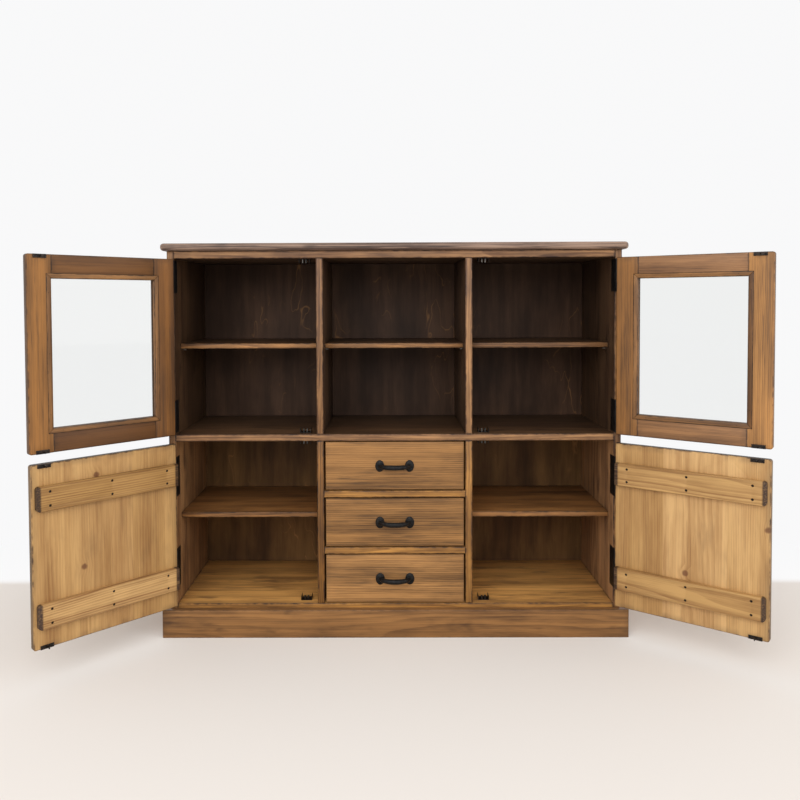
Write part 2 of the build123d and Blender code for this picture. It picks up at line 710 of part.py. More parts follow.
def cabinet_parts():
    """Every piece of the standing case, by name."""
    side = side_panel_left()
    leaves = [case_leaf(span) for span in UPPER_HINGES + LOWER_HINGES]
    frames = [catch_frame(*seat) for seat in CATCH_SEATS]
    rollers = [roller for seat in CATCH_SEATS for roller in catch_rollers(*seat)]
    parts = {
        "top_board": [top_board()],
        "top_panel": [cross_board(INNER_SIDE, CEILING, CASE_HEIGHT)],
        "side_panel_left": [side],
        "side_panel_right": mirrored([side]),
        "mid_shelf": [cross_board(INNER_SIDE, MID_SHELF_UNDERSIDE, MID_SHELF_TOP)],
        "bottom_board": [cross_board(INNER_SIDE, BOTTOM_UNDERSIDE, BOTTOM_TOP)],
        "dividers_upper": dividers(MID_SHELF_TOP, CEILING),
        "dividers_lower": dividers(BOTTOM_TOP, MID_SHELF_UNDERSIDE),
        "back_panel": [back_panel()],
        "shelf_pins": [peg(place, PIN_RADIUS, PIN_DEPTH, PIN_REACH) for place in PINS],
        "drawer_rails": drawer_rails(),
        "drawer_runners": drawer_runners(),
        "plinth_front": [plinth_front()],
        "plinth_sides": [plinth_side()] + mirrored([plinth_side()]),
        "catch_frames": frames + mirrored(frames),
        "catch_rollers": rollers + mirrored(rollers),
        "case_hinge_leaves": leaves + mirrored(leaves),
    }
    for name, shelf in SHELVES.items():
        parts[name] = [loose_shelf(*shelf)]
    return parts


def drawer_parts(level):
    floor = opening_floor(level)
    middle = floor + DRAWER_OPENING / 2
    return {
        "front": [drawer_front(floor)],
        "box": drawer_box(floor),
        "bottom": [drawer_bottom(floor)],
        "handle": [Pos(0, FRONT, middle) * HANDLE],
    }


DRAWER_NAMES = ("lower", "middle", "upper")


def all_parts():
    parts = cabinet_parts()
    for row, door_parts in (("upper", upper_door_parts()), ("lower", lower_door_parts())):
        for hand in ("left", "right"):
            name = row + "_" + hand
            for piece, solids in door_parts.items():
                parts["door_" + name + "_" + piece] = opened(solids, name)
    for level in range(DRAWER_COUNT):
        for piece, solids in drawer_parts(level).items():
            parts["drawer_" + DRAWER_NAMES[level] + "_" + piece] = solids
    return parts


def write_parts():
    os.makedirs("parts", exist_ok=True)
    for name, solids in all_parts().items():
        bodies = [body for solid in solids for body in solid.solids()]
        piece = bodies[0] if len(bodies) == 1 else Compound(children=bodies)
        export_step(piece, os.path.join("parts", name + ".step"))


write_parts()
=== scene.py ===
import json
import math
import random

import bmesh
import bpy
from bpy.props import FloatProperty, FloatVectorProperty, IntProperty, PointerProperty
from mathutils import Matrix, Vector


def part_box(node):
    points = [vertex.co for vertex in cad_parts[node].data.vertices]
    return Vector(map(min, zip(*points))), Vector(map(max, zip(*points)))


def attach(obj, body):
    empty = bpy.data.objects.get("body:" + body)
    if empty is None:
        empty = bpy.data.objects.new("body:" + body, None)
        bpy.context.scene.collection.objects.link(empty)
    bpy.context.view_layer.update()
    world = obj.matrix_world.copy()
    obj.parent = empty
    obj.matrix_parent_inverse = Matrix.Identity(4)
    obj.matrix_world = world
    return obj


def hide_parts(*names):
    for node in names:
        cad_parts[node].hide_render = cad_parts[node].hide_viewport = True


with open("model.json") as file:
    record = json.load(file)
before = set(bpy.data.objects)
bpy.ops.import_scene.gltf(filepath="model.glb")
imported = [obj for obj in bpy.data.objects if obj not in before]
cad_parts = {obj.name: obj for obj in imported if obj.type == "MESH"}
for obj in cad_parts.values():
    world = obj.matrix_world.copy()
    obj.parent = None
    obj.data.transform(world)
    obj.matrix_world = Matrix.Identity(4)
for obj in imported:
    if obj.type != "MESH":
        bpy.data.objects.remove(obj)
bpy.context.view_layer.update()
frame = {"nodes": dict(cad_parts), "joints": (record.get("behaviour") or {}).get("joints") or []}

bl_info = {
    "name": "Mizuya Kitchen Cabinet",
    "version": (1, 0, 0),
    "blender": (4, 5, 0),
    "location": "3D View > Sidebar > Cabinet",
    "description": "Finishes the boards, glass, iron and stage of a low kitchen cabinet",
    "category": "Object",
}

MM = 0.001
JOINTS = {joint["name"]: joint for joint in frame["joints"]}
DOORS = ("upper_left", "upper_right", "lower_left", "lower_right")
GLAZED_DOORS = DOORS[:2]
PLANK_DOORS = DOORS[2:]
DRAWERS = ("upper", "middle", "lower")

# ---- Sizes that the boards, doors and fittings share, in metres ----
HALF_CASE = 585 * MM
CASE_HEIGHT = 1001 * MM
CASE_FRONT = 9 * MM
BOTTOM_TOP = 83 * MM
MID_SHELF = (508 * MM, 526 * MM)
CEILING = 981 * MM
INNER_SIDE = 567 * MM
DOOR_GAP = 2 * MM
DOOR_WIDTH = 361.5 * MM
DOOR_THICKNESS = 18 * MM
HINGE_EDGE = INNER_SIDE - DOOR_GAP
DOOR_BACK = CASE_FRONT + DOOR_THICKNESS
PLANK_SEAMS = (121 * MM, 269 * MM)
LEAF_THICKNESS = 1.6 * MM
CATCH_X = -233 * MM
DOOR_HANDLE_X = -231 * MM


# ---- Where the doors stand ----
def door_matrix(name):
    """Takes a piece from a closed left door's place to where the named door stands."""
    joint = JOINTS["door_" + name + "_hinge"]
    side = joint["axis"][2]
    pivot = Vector((joint["pos_m"][0], joint["pos_m"][1], 0))
    swing = Matrix.Rotation(-side * math.radians(joint["range_deg"][0]), 4, "Z")
    flip = Matrix.Diagonal((-side, 1, 1, 1))
    return Matrix.Translation(pivot) @ swing @ Matrix.Translation(-pivot) @ flip


DOOR_PLACES = {name: door_matrix(name) for name in DOORS}
STANDING = Matrix.Identity(4)
MIRRORED = Matrix.Diagonal((-1, 1, 1, 1))


# ---- Node trees ----
class Value:
    """An output in a node tree, which plain sums make into further nodes."""

    def __init__(self, tree, socket):
        self.tree = tree
        self.socket = socket

    def __add__(self, other):
        return self.tree.math("ADD", self, other)

    def __sub__(self, other):
        return self.tree.math("SUBTRACT", self, other)

    def __mul__(self, other):
        return self.tree.math("MULTIPLY", self, other)

    def __truediv__(self, other):
        return self.tree.math("DIVIDE", self, other)

    def __pow__(self, other):
        return self.tree.math("POWER", self, other)

    def __abs__(self):
        return self.tree.math("ABSOLUTE", self)


class Tree:
    """Adds nodes to a tree, with sockets set or linked by name."""

    def __init__(self, tree):
        self.tree = tree

    def add(self, kind, inputs=None, **settings):
        node = self.tree.nodes.new(kind)
        for name, value in settings.items():
            setattr(node, name, value)
        for name, value in (inputs or {}).items():
            self.feed(node.inputs[name], value)
        return node

    def feed(self, socket, value):
        if isinstance(value, Value):
            self.tree.links.new(value.socket, socket)
        else:
            socket.default_value = value

    def take(self, kind, inputs=None, output=0, **settings):
        """Adds a node for the sake of one of its outputs."""
        return Value(self, self.add(kind, inputs, **settings).outputs[output])

    def every(self, kind, inputs=None, **settings):
        """Adds a node for all its outputs, by name."""
        outputs = self.add(kind, inputs, **settings).outputs
        return {socket.name: Value(self, socket) for socket in outputs}

    def math(self, operation, *values, clamp=False):
        inputs = dict(enumerate(values))
        return self.take("ShaderNodeMath", inputs, operation=operation, use_clamp=clamp)

    def vector(self, operation, *values, output=0):
        inputs = dict(enumerate(values))
        return self.take("ShaderNodeVectorMath", inputs, output, operation=operation)

    def join(self, x=0.0, y=0.0, z=0.0):
        return self.take("ShaderNodeCombineXYZ", {"X": x, "Y": y, "Z": z})

    def split(self, vector):
        return list(self.every("ShaderNodeSeparateXYZ", {0: vector}).values())

    def attribute(self, name, output="Vector"):
        return self.take("ShaderNodeAttribute", output=output, attribute_name=name)

    def share(self, name):
        """A single number that the mesh carries."""
        return self.attribute(name, "Fac")

    def spot(self):
        """Where the point is on the object."""
        return self.take("ShaderNodeTexCoord", output="Object")

    def noise(self, vector, scale, detail=2.0, roughness=0.5):
        """A noise value whose scale is given for each axis, in cycles a metre."""
        stretched = self.vector("MULTIPLY", vector, scale)
        inputs = {"Vector": stretched, "Scale": 1.0, "Detail": detail, "Roughness": roughness}
        return self.take("ShaderNodeTexNoise", inputs)

    def ramp(self, value, low, high, start=0.0, end=1.0):
        """Value from low to high, turned smoothly into start to end."""
        names = ("Value", "From Min", "From Max", "To Min", "To Max")
        inputs = dict(zip(names, (value, low, high, start, end)))
        return self.take("ShaderNodeMapRange", inputs, "Result", interpolation_type="SMOOTHSTEP")

    def fade(self, value, low, high):
        """One up to low, none from high on."""
        return self.ramp(value, low, high, 1.0, 0.0)

    def blend(self, factor, first, second, mode="MIX"):
        inputs = {0: factor, 6: first, 7: second}
        return self.take("ShaderNodeMix", inputs, 2, data_type="RGBA", blend_type=mode)

    def bump(self, height, distance, strength):
        """A surface normal that follows a height."""
        inputs = {"Height": height, "Distance": distance, "Strength": strength}
        return self.take("ShaderNodeBump", inputs)

    def mix_shaders(self, share, first, second):
        return self.take("ShaderNodeMixShader", {0: share, 1: first, 2: second})


def new_group(name, kind, inputs, outputs):
    """A node group with named sockets, its tree and its inputs by name."""
    group = bpy.data.node_groups.new(name, kind)
    for title, socket, default in inputs:
        made = group.interface.new_socket(title, in_out="INPUT", socket_type="NodeSocket" + socket)
        if default is not None:
            made.default_value = default
    for title, socket in outputs:
        group.interface.new_socket(title, in_out="OUTPUT", socket_type="NodeSocket" + socket)
    tree = Tree(group)
    return group, tree, tree.every("NodeGroupInput")


def colour(rgb):
    """A written sRGB colour (0 to 255) as the linear colour that nodes take."""
    linear = []
    for level in rgb:
        share = level / 255
        linear.append(share / 12.92 if share <= 0.04045 else ((share + 0.055) / 1.055) ** 2.4)
    return (*linear, 1.0)


# ---- Wood ----
TIMBER_INPUTS = (
    ("Light", "Color", (0.6, 0.4, 0.2, 1)),
    ("Dark", "Color", (0.3, 0.2, 0.1, 1)),
    ("Stain", "Color", (0.1, 0.06, 0.03, 1)),
    ("Ring Width", "Float", 5 * MM),
    ("Ring Strength", "Float", 0.5),
    ("Streaks", "Float", 0.4),
    ("Patches", "Float", 0.4),
    ("Strips", "Float", 0.4),
    ("Arris", "Float", 0.5),
    ("Arris Width", "Float", 2 * MM),
    ("End", "Float", 0.5),
    ("End Width", "Float", 0.5 * MM),
    ("Knots", "Float", 0.0),
)
KNOTS_A_METRE = 9
KNOT_COLOUR = (98, 56, 32)
RIM_WIDTH = 20 * MM
# The dark tint inside the case, partly stain and partly painted shade, and the share of it that the
# better lit lower half gets
DEEP_TINT = (0.21, 0.205, 0.225, 1)
LOWER_BAY_STAIN_AND_SHADE = 0.1


def timber_group():
    """Growth rings round a board's own pith, fibres, stain, a few knots and worn arrises.

    The mesh carries five attributes: grain, a point's place in its log with X along the fibres;
    place and half, its place from the board's middle and half the board's size, in that order;
    board, how light the board is, with painted light added on some faces of the case; and deep, how
    far a face takes the dark tint, which inside the case is partly stain and partly painted shade.
    """
    outputs = (("Color", "Color"), ("Height", "Float"), ("Roughness", "Float"))
    group, t, given = new_group("TimberGrain", "ShaderNodeTree", TIMBER_INPUTS, outputs)
    grain = t.attribute("grain")

    # Knots, which the rings swerve round
    spread = t.vector("MULTIPLY", grain, (KNOTS_A_METRE,) * 3)
    cells = {"Vector": spread, "Scale": 1.0, "Randomness": 1.0}
    knot_distance = t.take("ShaderNodeTexVoronoi", cells, "Distance")
    uneven = (t.noise(grain, (90, 130, 130)) - 0.5) * 0.05
    knot = t.fade(knot_distance + uneven, 0.04, 0.085) * given["Knots"]
    swerve = t.fade(knot_distance, 0.03, 0.25) * given["Knots"]

    # Growth rings that wander along the log, with a dark late edge and some bolder than others
    slow = t.noise(grain, (1.3, 9, 9)) - 0.5
    quick = t.noise(grain, (9, 70, 70)) - 0.5
    radius = t.vector("LENGTH", t.vector("MULTIPLY", grain, (0, 1, 1)), output="Value")
    radius = radius + slow * 0.036 + quick * 0.0018 + swerve * 0.004
    ring = t.math("FRACT", radius / given["Ring Width"])
    late = t.ramp(ring, 0.2, 0.92) * t.fade(ring, 0.92, 1.0)
    bold = t.ramp(t.noise(t.join(radius), (95, 0, 0)), 0.3, 0.7, 0.3, 1.0)
    rings = late * bold * given["Ring Strength"]

    # From fibres to patches, each noise coarser than the one before
    fibre = t.noise(grain, (16, 700, 700), 3.0, 0.65)
    dash = t.noise(grain, (11, 330, 330), 2.0, 0.6)
    thread = t.noise(grain, (2.2, 260, 260), 4.0, 0.7)
    cloud = t.noise(grain, (7, 22, 22), 3.0, 0.6)
    blotch = t.noise(grain, (3.2, 16, 16), 4.0, 0.6)
    strip = t.ramp(t.noise(grain, (0.6, 30, 30)), 0.4, 0.6, -0.5, 0.5)
    pull = t.math("MULTIPLY_ADD", given["Streaks"], 2.2, 0.5)
    dark = rings + (fibre - 0.5) * 0.7 + (thread - 0.5) * pull + strip * given["Strips"]
    dark = t.math("ADD", dark, t.ramp(blotch, 0.3, 0.75, 0.0, 0.6), clamp=True)
    body = t.blend(dark, given["Light"], given["Dark"])

    # Stain that stays in streaks, in patches, on the worn arrises, along the rim and in the ends
    half = t.attribute("half")
    reach = t.vector("SUBTRACT", half, t.vector("ABSOLUTE", t.attribute("place")))
    to_end, to_side, to_face = t.split(reach)
    to_rim = t.math("MINIMUM", to_end, to_side)
    to_arris = t.math("MINIMUM", t.math("MAXIMUM", to_end, to_side), to_face)
    ragged = t.ramp(t.noise(grain, (55, 80, 80), 3.0), 0.25, 0.75, -0.3, 0.3) * given["Arris Width"]
    wear = t.math("MAXIMUM", to_rim, to_arris) + ragged
    wear = t.fade(wear, 0.0, given["Arris Width"]) * given["Arris"]
    rim = t.ramp(to_rim, 0.0, RIM_WIDTH, 0.4, 0.0) * given["Arris"]
    end = t.fade(to_end, given["End Width"] * 0.55, given["End Width"]) * given["End"]
    marks = (
        t.ramp(dash, 0.52, 0.64) * t.ramp(blotch, 0.4, 0.6, 0.15, 1.0) * given["Streaks"],
        t.ramp(cloud, 0.54, 0.74) * given["Patches"],
        wear * t.ramp(cloud, 0.3, 0.6, 0.5, 1.0),
        rim * t.ramp(cloud, 0.35, 0.6),
        end * t.ramp(dash, 0.3, 0.6, 0.75, 1.0),
    )
    stained = marks[0]
    for mark in marks[1:]:
        stained = t.math("MAXIMUM", stained, mark)
    body = t.blend(knot * 0.8, body, colour(KNOT_COLOUR))
    body = t.blend(stained, body, given["Stain"])

    # Darker boards are redder. The dark tint inside is partly stain and partly painted shade, full
    # in the upper bays and slight in the lower half, where more light falls
    shade = t.share("board") + 0.5
    body = t.blend(1.0, body, t.join(shade ** 0.8, shade, shade ** 1.5), "MULTIPLY")
    height = t.split(t.spot())[2]
    upper = t.ramp(height, MID_SHELF[0] - 5 * MM, MID_SHELF[1] + 5 * MM, LOWER_BAY_STAIN_AND_SHADE, 1.0)
    body = t.blend(t.share("deep") * upper, body, DEEP_TINT, "MULTIPLY")

    relief = fibre * -0.5 - rings * 0.9
    rough = t.math("ADD", fibre * 0.22 + rings * 0.1, 0.36, clamp=True)
    t.add("NodeGroupOutput", {"Color": body, "Height": relief, "Roughness": rough})
    return group


def empty_material(name):
    material = bpy.data.materials.new(name)
    material.use_nodes = True
    material.node_tree.nodes.clear()
    return material, Tree(material.node_tree)


def end_material(t, shader):
    t.add("ShaderNodeOutputMaterial", {"Surface": shader})


def surface(t, base, roughness, normal, metallic=0.0, specular=0.5):
    """Ends a material in an opaque surface."""
    inputs = {"Base Color": base, "Roughness": roughness, "Normal": normal, "Metallic": metallic,
              "Specular IOR Level": specular}
    end_material(t, t.take("ShaderNodeBsdfPrincipled", inputs))


def wood(light, dark, stain, ring_width, ring_strength, streaks, patches, strips=0.3, arris=1.0,
         arris_width=2.0, end=0.6, end_width=0.5, knots=0.0, relief=0.3):
    """One wood's colours and strengths by the names of the timber's inputs. Widths are in mm."""
    inputs = {"Light": colour(light), "Dark": colour(dark), "Stain": colour(stain),
              "Ring Width": ring_width * MM, "Ring Strength": ring_strength, "Streaks": streaks,
              "Patches": patches, "Strips": strips, "Arris": arris,
              "Arris Width": arris_width * MM, "End": end, "End Width": end_width * MM,
              "Knots": knots}
    return inputs, relief * MM


WOODS = {
    "CaseWood": wood((174, 128, 83), (106, 72, 45), (46, 30, 26), 4.0, 0.7, 0.6, 0.65,
                     arris_width=5.2, relief=0.35),
    "FrontWood": wood((186, 131, 63), (116, 76, 34), (50, 33, 24), 4.0, 0.75, 0.6, 0.6,
                      arris_width=4.8, relief=0.35),
    "TopWood": wood((152, 124, 103), (80, 61, 51), (36, 27, 26), 4.5, 0.9, 0.9, 0.7,
                    strips=0.4, arris=0.2, relief=0.35),
    "PlinthWood": wood((172, 124, 74), (104, 72, 44), (52, 35, 27), 5.0, 0.4, 0.45, 0.6,
                       strips=0.4, arris=0.8, arris_width=3.0),
    "ShelfWood": wood((178, 126, 74), (104, 69, 40), (46, 30, 21), 4.0, 0.7, 0.6, 0.4,
                      arris=0.95, arris_width=4.5, end=0.5),
    "StileWood": wood((160, 109, 54), (100, 66, 32), (54, 37, 27), 3.5, 0.4, 0.4, 0.25,
                      strips=0.45, arris=0.95, arris_width=3.6, end=0.85, relief=0.25),
    "DoorRailWood": wood((132, 90, 50), (84, 54, 29), (48, 32, 22), 3.5, 0.35, 0.35, 0.25,
                         strips=0.4, arris=0.95, arris_width=3.6, end=0.0, relief=0.25),
    "BeadWood": wood((154, 108, 61), (88, 56, 30), (38, 25, 17), 3.0, 0.5, 0.4, 0.5,
                     arris_width=3.4, end=0.4, relief=0.2),
    "PlankWood": wood((196, 154, 97), (150, 107, 60), (64, 46, 35), 5.0, 0.3, 0.12, 0.2,
                      strips=0.4, arris_width=4.2, end=0.95, knots=1.0),
    "BattenWood": wood((202, 160, 102), (138, 96, 53), (58, 40, 31), 5.5, 0.65, 0.15, 0.12,
                       arris=0.3, end=1.0, end_width=11.0),
    "DrawerFrontWood": wood((176, 127, 73), (98, 67, 35), (56, 43, 33), 5.5, 0.42, 0.5, 0.2,
                            arris=0.5, arris_width=2.6, end_width=1.5, relief=0.4),
    "DrawerBoxWood": wood((190, 163, 122), (164, 130, 88), (130, 97, 62), 5.0, 0.5, 0.1, 0.1,
                          strips=0.2, arris=0.1, arris_width=1.0, end=0.2, knots=0.4,
                          relief=0.2),
}


def wood_material(group, name):
    inputs, relief = WOODS[name]
    material, t = empty_material(name)
    timber = t.every("ShaderNodeGroup", inputs, node_tree=group)
    surface(t, timber["Color"], timber["Roughness"], t.bump(timber["Height"], relief, 0.6),
            specular=0.35)
    return material


def plywood_material():
    """Ply with upright veneer grain and a few short pale curls inside; its inner face is dark in
    the upper bays, partly stain and partly painted shade, and golden lower down.
    """
    material, t = empty_material("BackPlywood")
    grain = t.attribute("grain")
    inner = t.share("deep")
    cloud = t.noise(grain, (2.4, 6, 6), 4.0, 0.6)
    veneer = t.noise(grain, (3.0, 34, 34), 4.0, 0.65)
    fine = t.noise(grain, (25, 260, 260), 3.0, 0.6)
    bent = t.vector("ADD", grain, t.join(y=t.noise(grain, (9, 22, 22)) * 0.06))
    curl = abs(t.noise(bent, (7, 26, 26), 1.0) - 0.5)
    curl = t.fade(curl, 0.0, 0.012) * t.ramp(cloud, 0.52, 0.66) * inner
    cloudy = t.ramp(cloud, 0.3, 0.7)
    # The inner face takes the dark colour, partly stain and partly painted shade, in the upper bays
    # only, and keeps the golden colour in the better lit lower bays
    stained = t.blend(cloudy, colour((62, 46, 37)), colour((100, 74, 57)))
    golden = t.blend(cloudy, colour((90, 63, 40)), colour((138, 102, 62)))
    height = t.split(t.spot())[2]
    base = t.blend(t.ramp(height, *MID_SHELF) * inner, golden, stained)
    base = t.blend(t.ramp(veneer, 0.35, 0.7) * 0.5, base, colour((42, 30, 24)))
    base = t.blend(fine * 0.35, base, colour((44, 33, 27)))
    base = t.blend(curl * 0.65, base, colour((160, 115, 72)))
    surface(t, base, 0.55, t.bump(fine, 0.15 * MM, 0.5), specular=0.12)
    return material


# ---- Iron, steel and glass ----
def iron_material():
    """Hammered black iron with a waxed sheen and browner hollows."""
    material, t = empty_material("ForgedIron")
    place = t.spot()
    dents = t.noise(place, (170, 170, 170))
    grit = t.noise(place, (1400, 1400, 1400), 3.0, 0.6)
    base = t.blend(t.ramp(dents, 0.35, 0.7), colour((17, 16, 16)), colour((34, 32, 31)))
    surface(t, base, t.ramp(grit, 0.3, 0.7, 0.34, 0.48), t.bump(dents + grit * 0.12, 1.2 * MM, 0.8),
            metallic=0.4, specular=0.3)
    return material


# name: low colour, high colour, roughness, metallic, brush marks a metre on X, Y and Z
METALS = {
    "HingeIron": ((18, 18, 19), (38, 36, 35), 0.45, 0.6, (900, 900, 300)),
    "CatchSteel": ((34, 30, 28), (62, 54, 48), 0.42, 0.8, (900, 900, 300)),
    "RollerSteel": ((64, 61, 58), (104, 99, 94), 0.34, 1.0, (300, 300, 2500)),
    "PinSteel": ((150, 146, 140), (190, 186, 178), 0.32, 1.0, (300, 2500, 2500)),
    "ScrewSteel": ((22, 19, 18), (46, 40, 36), 0.5, 0.7, (1200, 1200, 1200)),
}


def metal_material(name):
    """Sheet or turned metal with faint brushing and tarnish."""
    low, high, roughness, metallic, marks = METALS[name]
    material, t = empty_material(name)
    place = t.spot()
    brush = t.noise(place, marks, 3.0, 0.6)
    tarnish = t.noise(place, (60, 60, 60), 3.0)
    base = t.blend(t.ramp(tarnish, 0.35, 0.7), colour(low), colour(high))
    surface(t, base, brush * 0.15 + (roughness - 0.07), t.bump(brush, 0.1 * MM, 0.4),
            metallic=metallic)
    return material


def glass_material():
    """Clear sheet glass that lets light through without a caustic."""
    material, t = empty_material("PaneGlass")
    clear = t.take("ShaderNodeBsdfTransparent", {"Color": (0.955, 0.96, 0.955, 1)})
    ripple = t.bump(t.noise(t.spot(), (12, 12, 9), 1.0), 0.2 * MM, 0.3)
    gloss = t.take("ShaderNodeBsdfGlossy", {"Roughness": 0.03, "Normal": ripple})
    fresnel = t.take("ShaderNodeFresnel", {"IOR": 1.45, "Normal": ripple})
    end_material(t, t.mix_shaders(fresnel * 0.4, clear, gloss))
    return material


def make_materials():
    group = timber_group()
    made = {name: wood_material(group, name) for name in WOODS}
    made.update((name, metal_material(name)) for name in METALS)
    made["BackPlywood"] = plywood_material()
    made["ForgedIron"] = iron_material()
    made["PaneGlass"] = glass_material()
    return made


MATERIALS = make_materials()


# ---- Pieces made from the frame's boards ----
def in_scene(name, data):
    """A new object in the scene."""
    made = bpy.data.objects.new(name, data)
    bpy.context.scene.collection.objects.link(made)
    return made


def give_material(mesh, material):
    mesh.materials.clear()
    mesh.materials.append(MATERIALS[material])


def link(name, mesh, material, body, slot, nodes=()):
    """Puts a finished mesh in the scene as a piece that rides on a body."""
    piece = in_scene(name, mesh)
    give_material(mesh, material)
    if nodes:
        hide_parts(*nodes)
    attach(piece, body)


PROBE_DEPTH = 0.4 * MM
SAME_POINT = 0.004 * MM


def solids_of(node, key=lambda point: 0):
    """Closed meshes of a CAD node, one for each solid. Key tells touching solids apart."""
    mesh = frame["nodes"][node].data
    groups = {}
    for polygon in mesh.polygons:
        within = polygon.center - polygon.normal * PROBE_DEPTH
        groups.setdefault(key(within), []).append([mesh.vertices[i].co for i in polygon.vertices])
    solids = []
    for group in sorted(groups):
        bm = bmesh.new()
        for corners in groups[group]:
            bm.faces.new([bm.verts.new(corner) for corner in corners])
        bmesh.ops.remove_doubles(bm, verts=bm.verts, dist=SAME_POINT)
        solids.extend(islands(bm))
        bm.free()
    return solids


def islands(bm):
    """Copies each connected shell of a mesh into a mesh of its own."""
    seen = set()
    shells = []
    for start in bm.faces:
        if start in seen:
            continue
        shell = []
        waiting = [start]
        seen.add(start)
        while waiting:
            here = waiting.pop()
            shell.append(here)
            for near in (other for edge in here.edges for other in edge.link_faces):
                if near not in seen:
                    seen.add(near)
                    waiting.append(near)
        part = bmesh.new()
        corners = {}
        for old in shell:
            for vert in old.verts:
                if vert not in corners:
                    corners[vert] = part.verts.new(vert.co)
            part.faces.new([corners[vert] for vert in old.verts])
        shells.append(part)
    return shells


def box_of(points):
    """The lowest and highest corners of some points."""
    return [Vector(min_or_max(point[axis] for point in points) for axis in range(3))
            for min_or_max in (min, max)]


def boxes(node, closed=STANDING):
    """The box of each solid of a CAD node, where its door is shut."""
    found = []
    for bm in solids_of(node):
        found.append(box_of([closed @ vert.co for vert in bm.verts]))
        bm.free()
    return found


def outline_of(node, closed):
    """The box of a whole CAD node, where its door is shut."""
    return box_of([closed @ vert.co for vert in frame["nodes"][node].data.vertices])


SHARP = math.radians(35)
FLAT = math.radians(0.6)
WOOD_EDGE = 0.7 * MM
BEAD_EDGE = 1.6 * MM
METAL_EDGE = 0.2 * MM


def soften(bm, width, spared=lambda edge: False):
    """Merges flat facets and rounds the sharp edges that are left, apart from spared ones."""
    bmesh.ops.dissolve_limit(bm, angle_limit=FLAT, verts=bm.verts, edges=bm.edges)
    sharp = [edge for edge in bm.edges
             if edge.is_manifold and edge.calc_face_angle() > SHARP and not spared(edge)]
    bmesh.ops.bevel(bm, geom=sharp, offset=width, offset_type="OFFSET", segments=2,
                    profile=0.5, affect="EDGES", clamp_overlap=True)
    bmesh.ops.recalc_face_normals(bm, faces=bm.faces)


def write_attribute(mesh, title, domain, data):
    """Gives each point or face of a mesh a number or a vector."""
    if isinstance(data[0], float):
        mesh.attributes.new(title, "FLOAT", domain).data.foreach_set("value", data)
    else:
        flat = [value for vector in data for value in vector]
        mesh.attributes.new(title, "FLOAT_VECTOR", domain).data.foreach_set("vector", flat)


def shade(mesh):
    mesh.shade_smooth()
    mesh.set_sharp_from_angle(angle=SHARP)


def written(name, solids, values):
    """One smooth-shaded mesh of several solids, with attributes given for each point or face."""
    points, faces = [], []
    for bm in solids:
        bm.verts.index_update()
        first = len(points)
        points.extend(vert.co.copy() for vert in bm.verts)
        faces.extend([first + vert.index for vert in face.verts] for face in bm.faces)
        bm.free()
    mesh = bpy.data.meshes.new(name)
    mesh.from_pydata(points, [], faces)
    for title, data in values.items():
        write_attribute(mesh, title, "FACE" if len(data) == len(faces) else "POINT", data)
    shade(mesh)
    mesh.validate()
    return mesh


def plain(face):
    return 0.0, 0.0


# Painted light that makes the case's floor and its inner faces that look sideways paler than their
# boards
FLOOR_PAINTED_LIGHT = 0.6
SIDES_PAINTED_LIGHT = 0.25


def in_case(face):
    """How much painted light a face of the case gets over its board's tone, and how far it takes
    the dark tint.

    The dark tint is partly stain and partly painted shade. It stays off faces in front, outside,
    behind and on top; the case's floor gets painted light instead, and inner faces that look
    sideways get a little painted light as well as the tint.
    """
    middle = face.calc_center_median()
    if (abs(face.normal.y) > 0.5 or abs(middle.x) > HALF_CASE - MM
            or middle.z > CASE_HEIGHT - MM):
        return 0.0, 0.0
    if face.normal.z > 0.5 and abs(middle.z - BOTTOM_TOP) < MM:
        return FLOOR_PAINTED_LIGHT, 0.0
    return (SIDES_PAINTED_LIGHT if abs(face.normal.x) > 0.5 else 0.0), 1.0


def on_sheet(face):
    """The back sheet takes the dark tint, partly stain and partly painted shade, on its inner face
    only.
    """
    return 0.0, (1.0 if face.normal.y < -0.5 else 0.0)


def on_door(closed, share):
    """The edge faces of a door's boards take the dark tint too."""
    turn = closed.to_3x3()
    return lambda face: (0.0, share if abs((turn @ face.normal).y) < 0.7 else 0.0)


PITH_DISTANCE = (45 * MM, 120 * MM)
LOG_LENGTH = 40
TONE_RANGE = (0.35, 0.65)
RIFT_SPREAD = 0.1
RIFT_DISTANCE = 3


def log_start(dice, rift):
    """Where the middle of a board lies in its log: along it, and from the pith on two axes.

    Rift sawn boards have their pith far to one side, so their rings show as straight lines.
    """
    pith = dice.uniform(0, 2 * math.pi)
    reach = dice.uniform(*PITH_DISTANCE)
    if rift:
        pith, reach = (pith - math.pi) * RIFT_SPREAD, reach * RIFT_DISTANCE
    return dice.uniform(0, LOG_LENGTH), reach * math.cos(pith), reach * math.sin(pith)


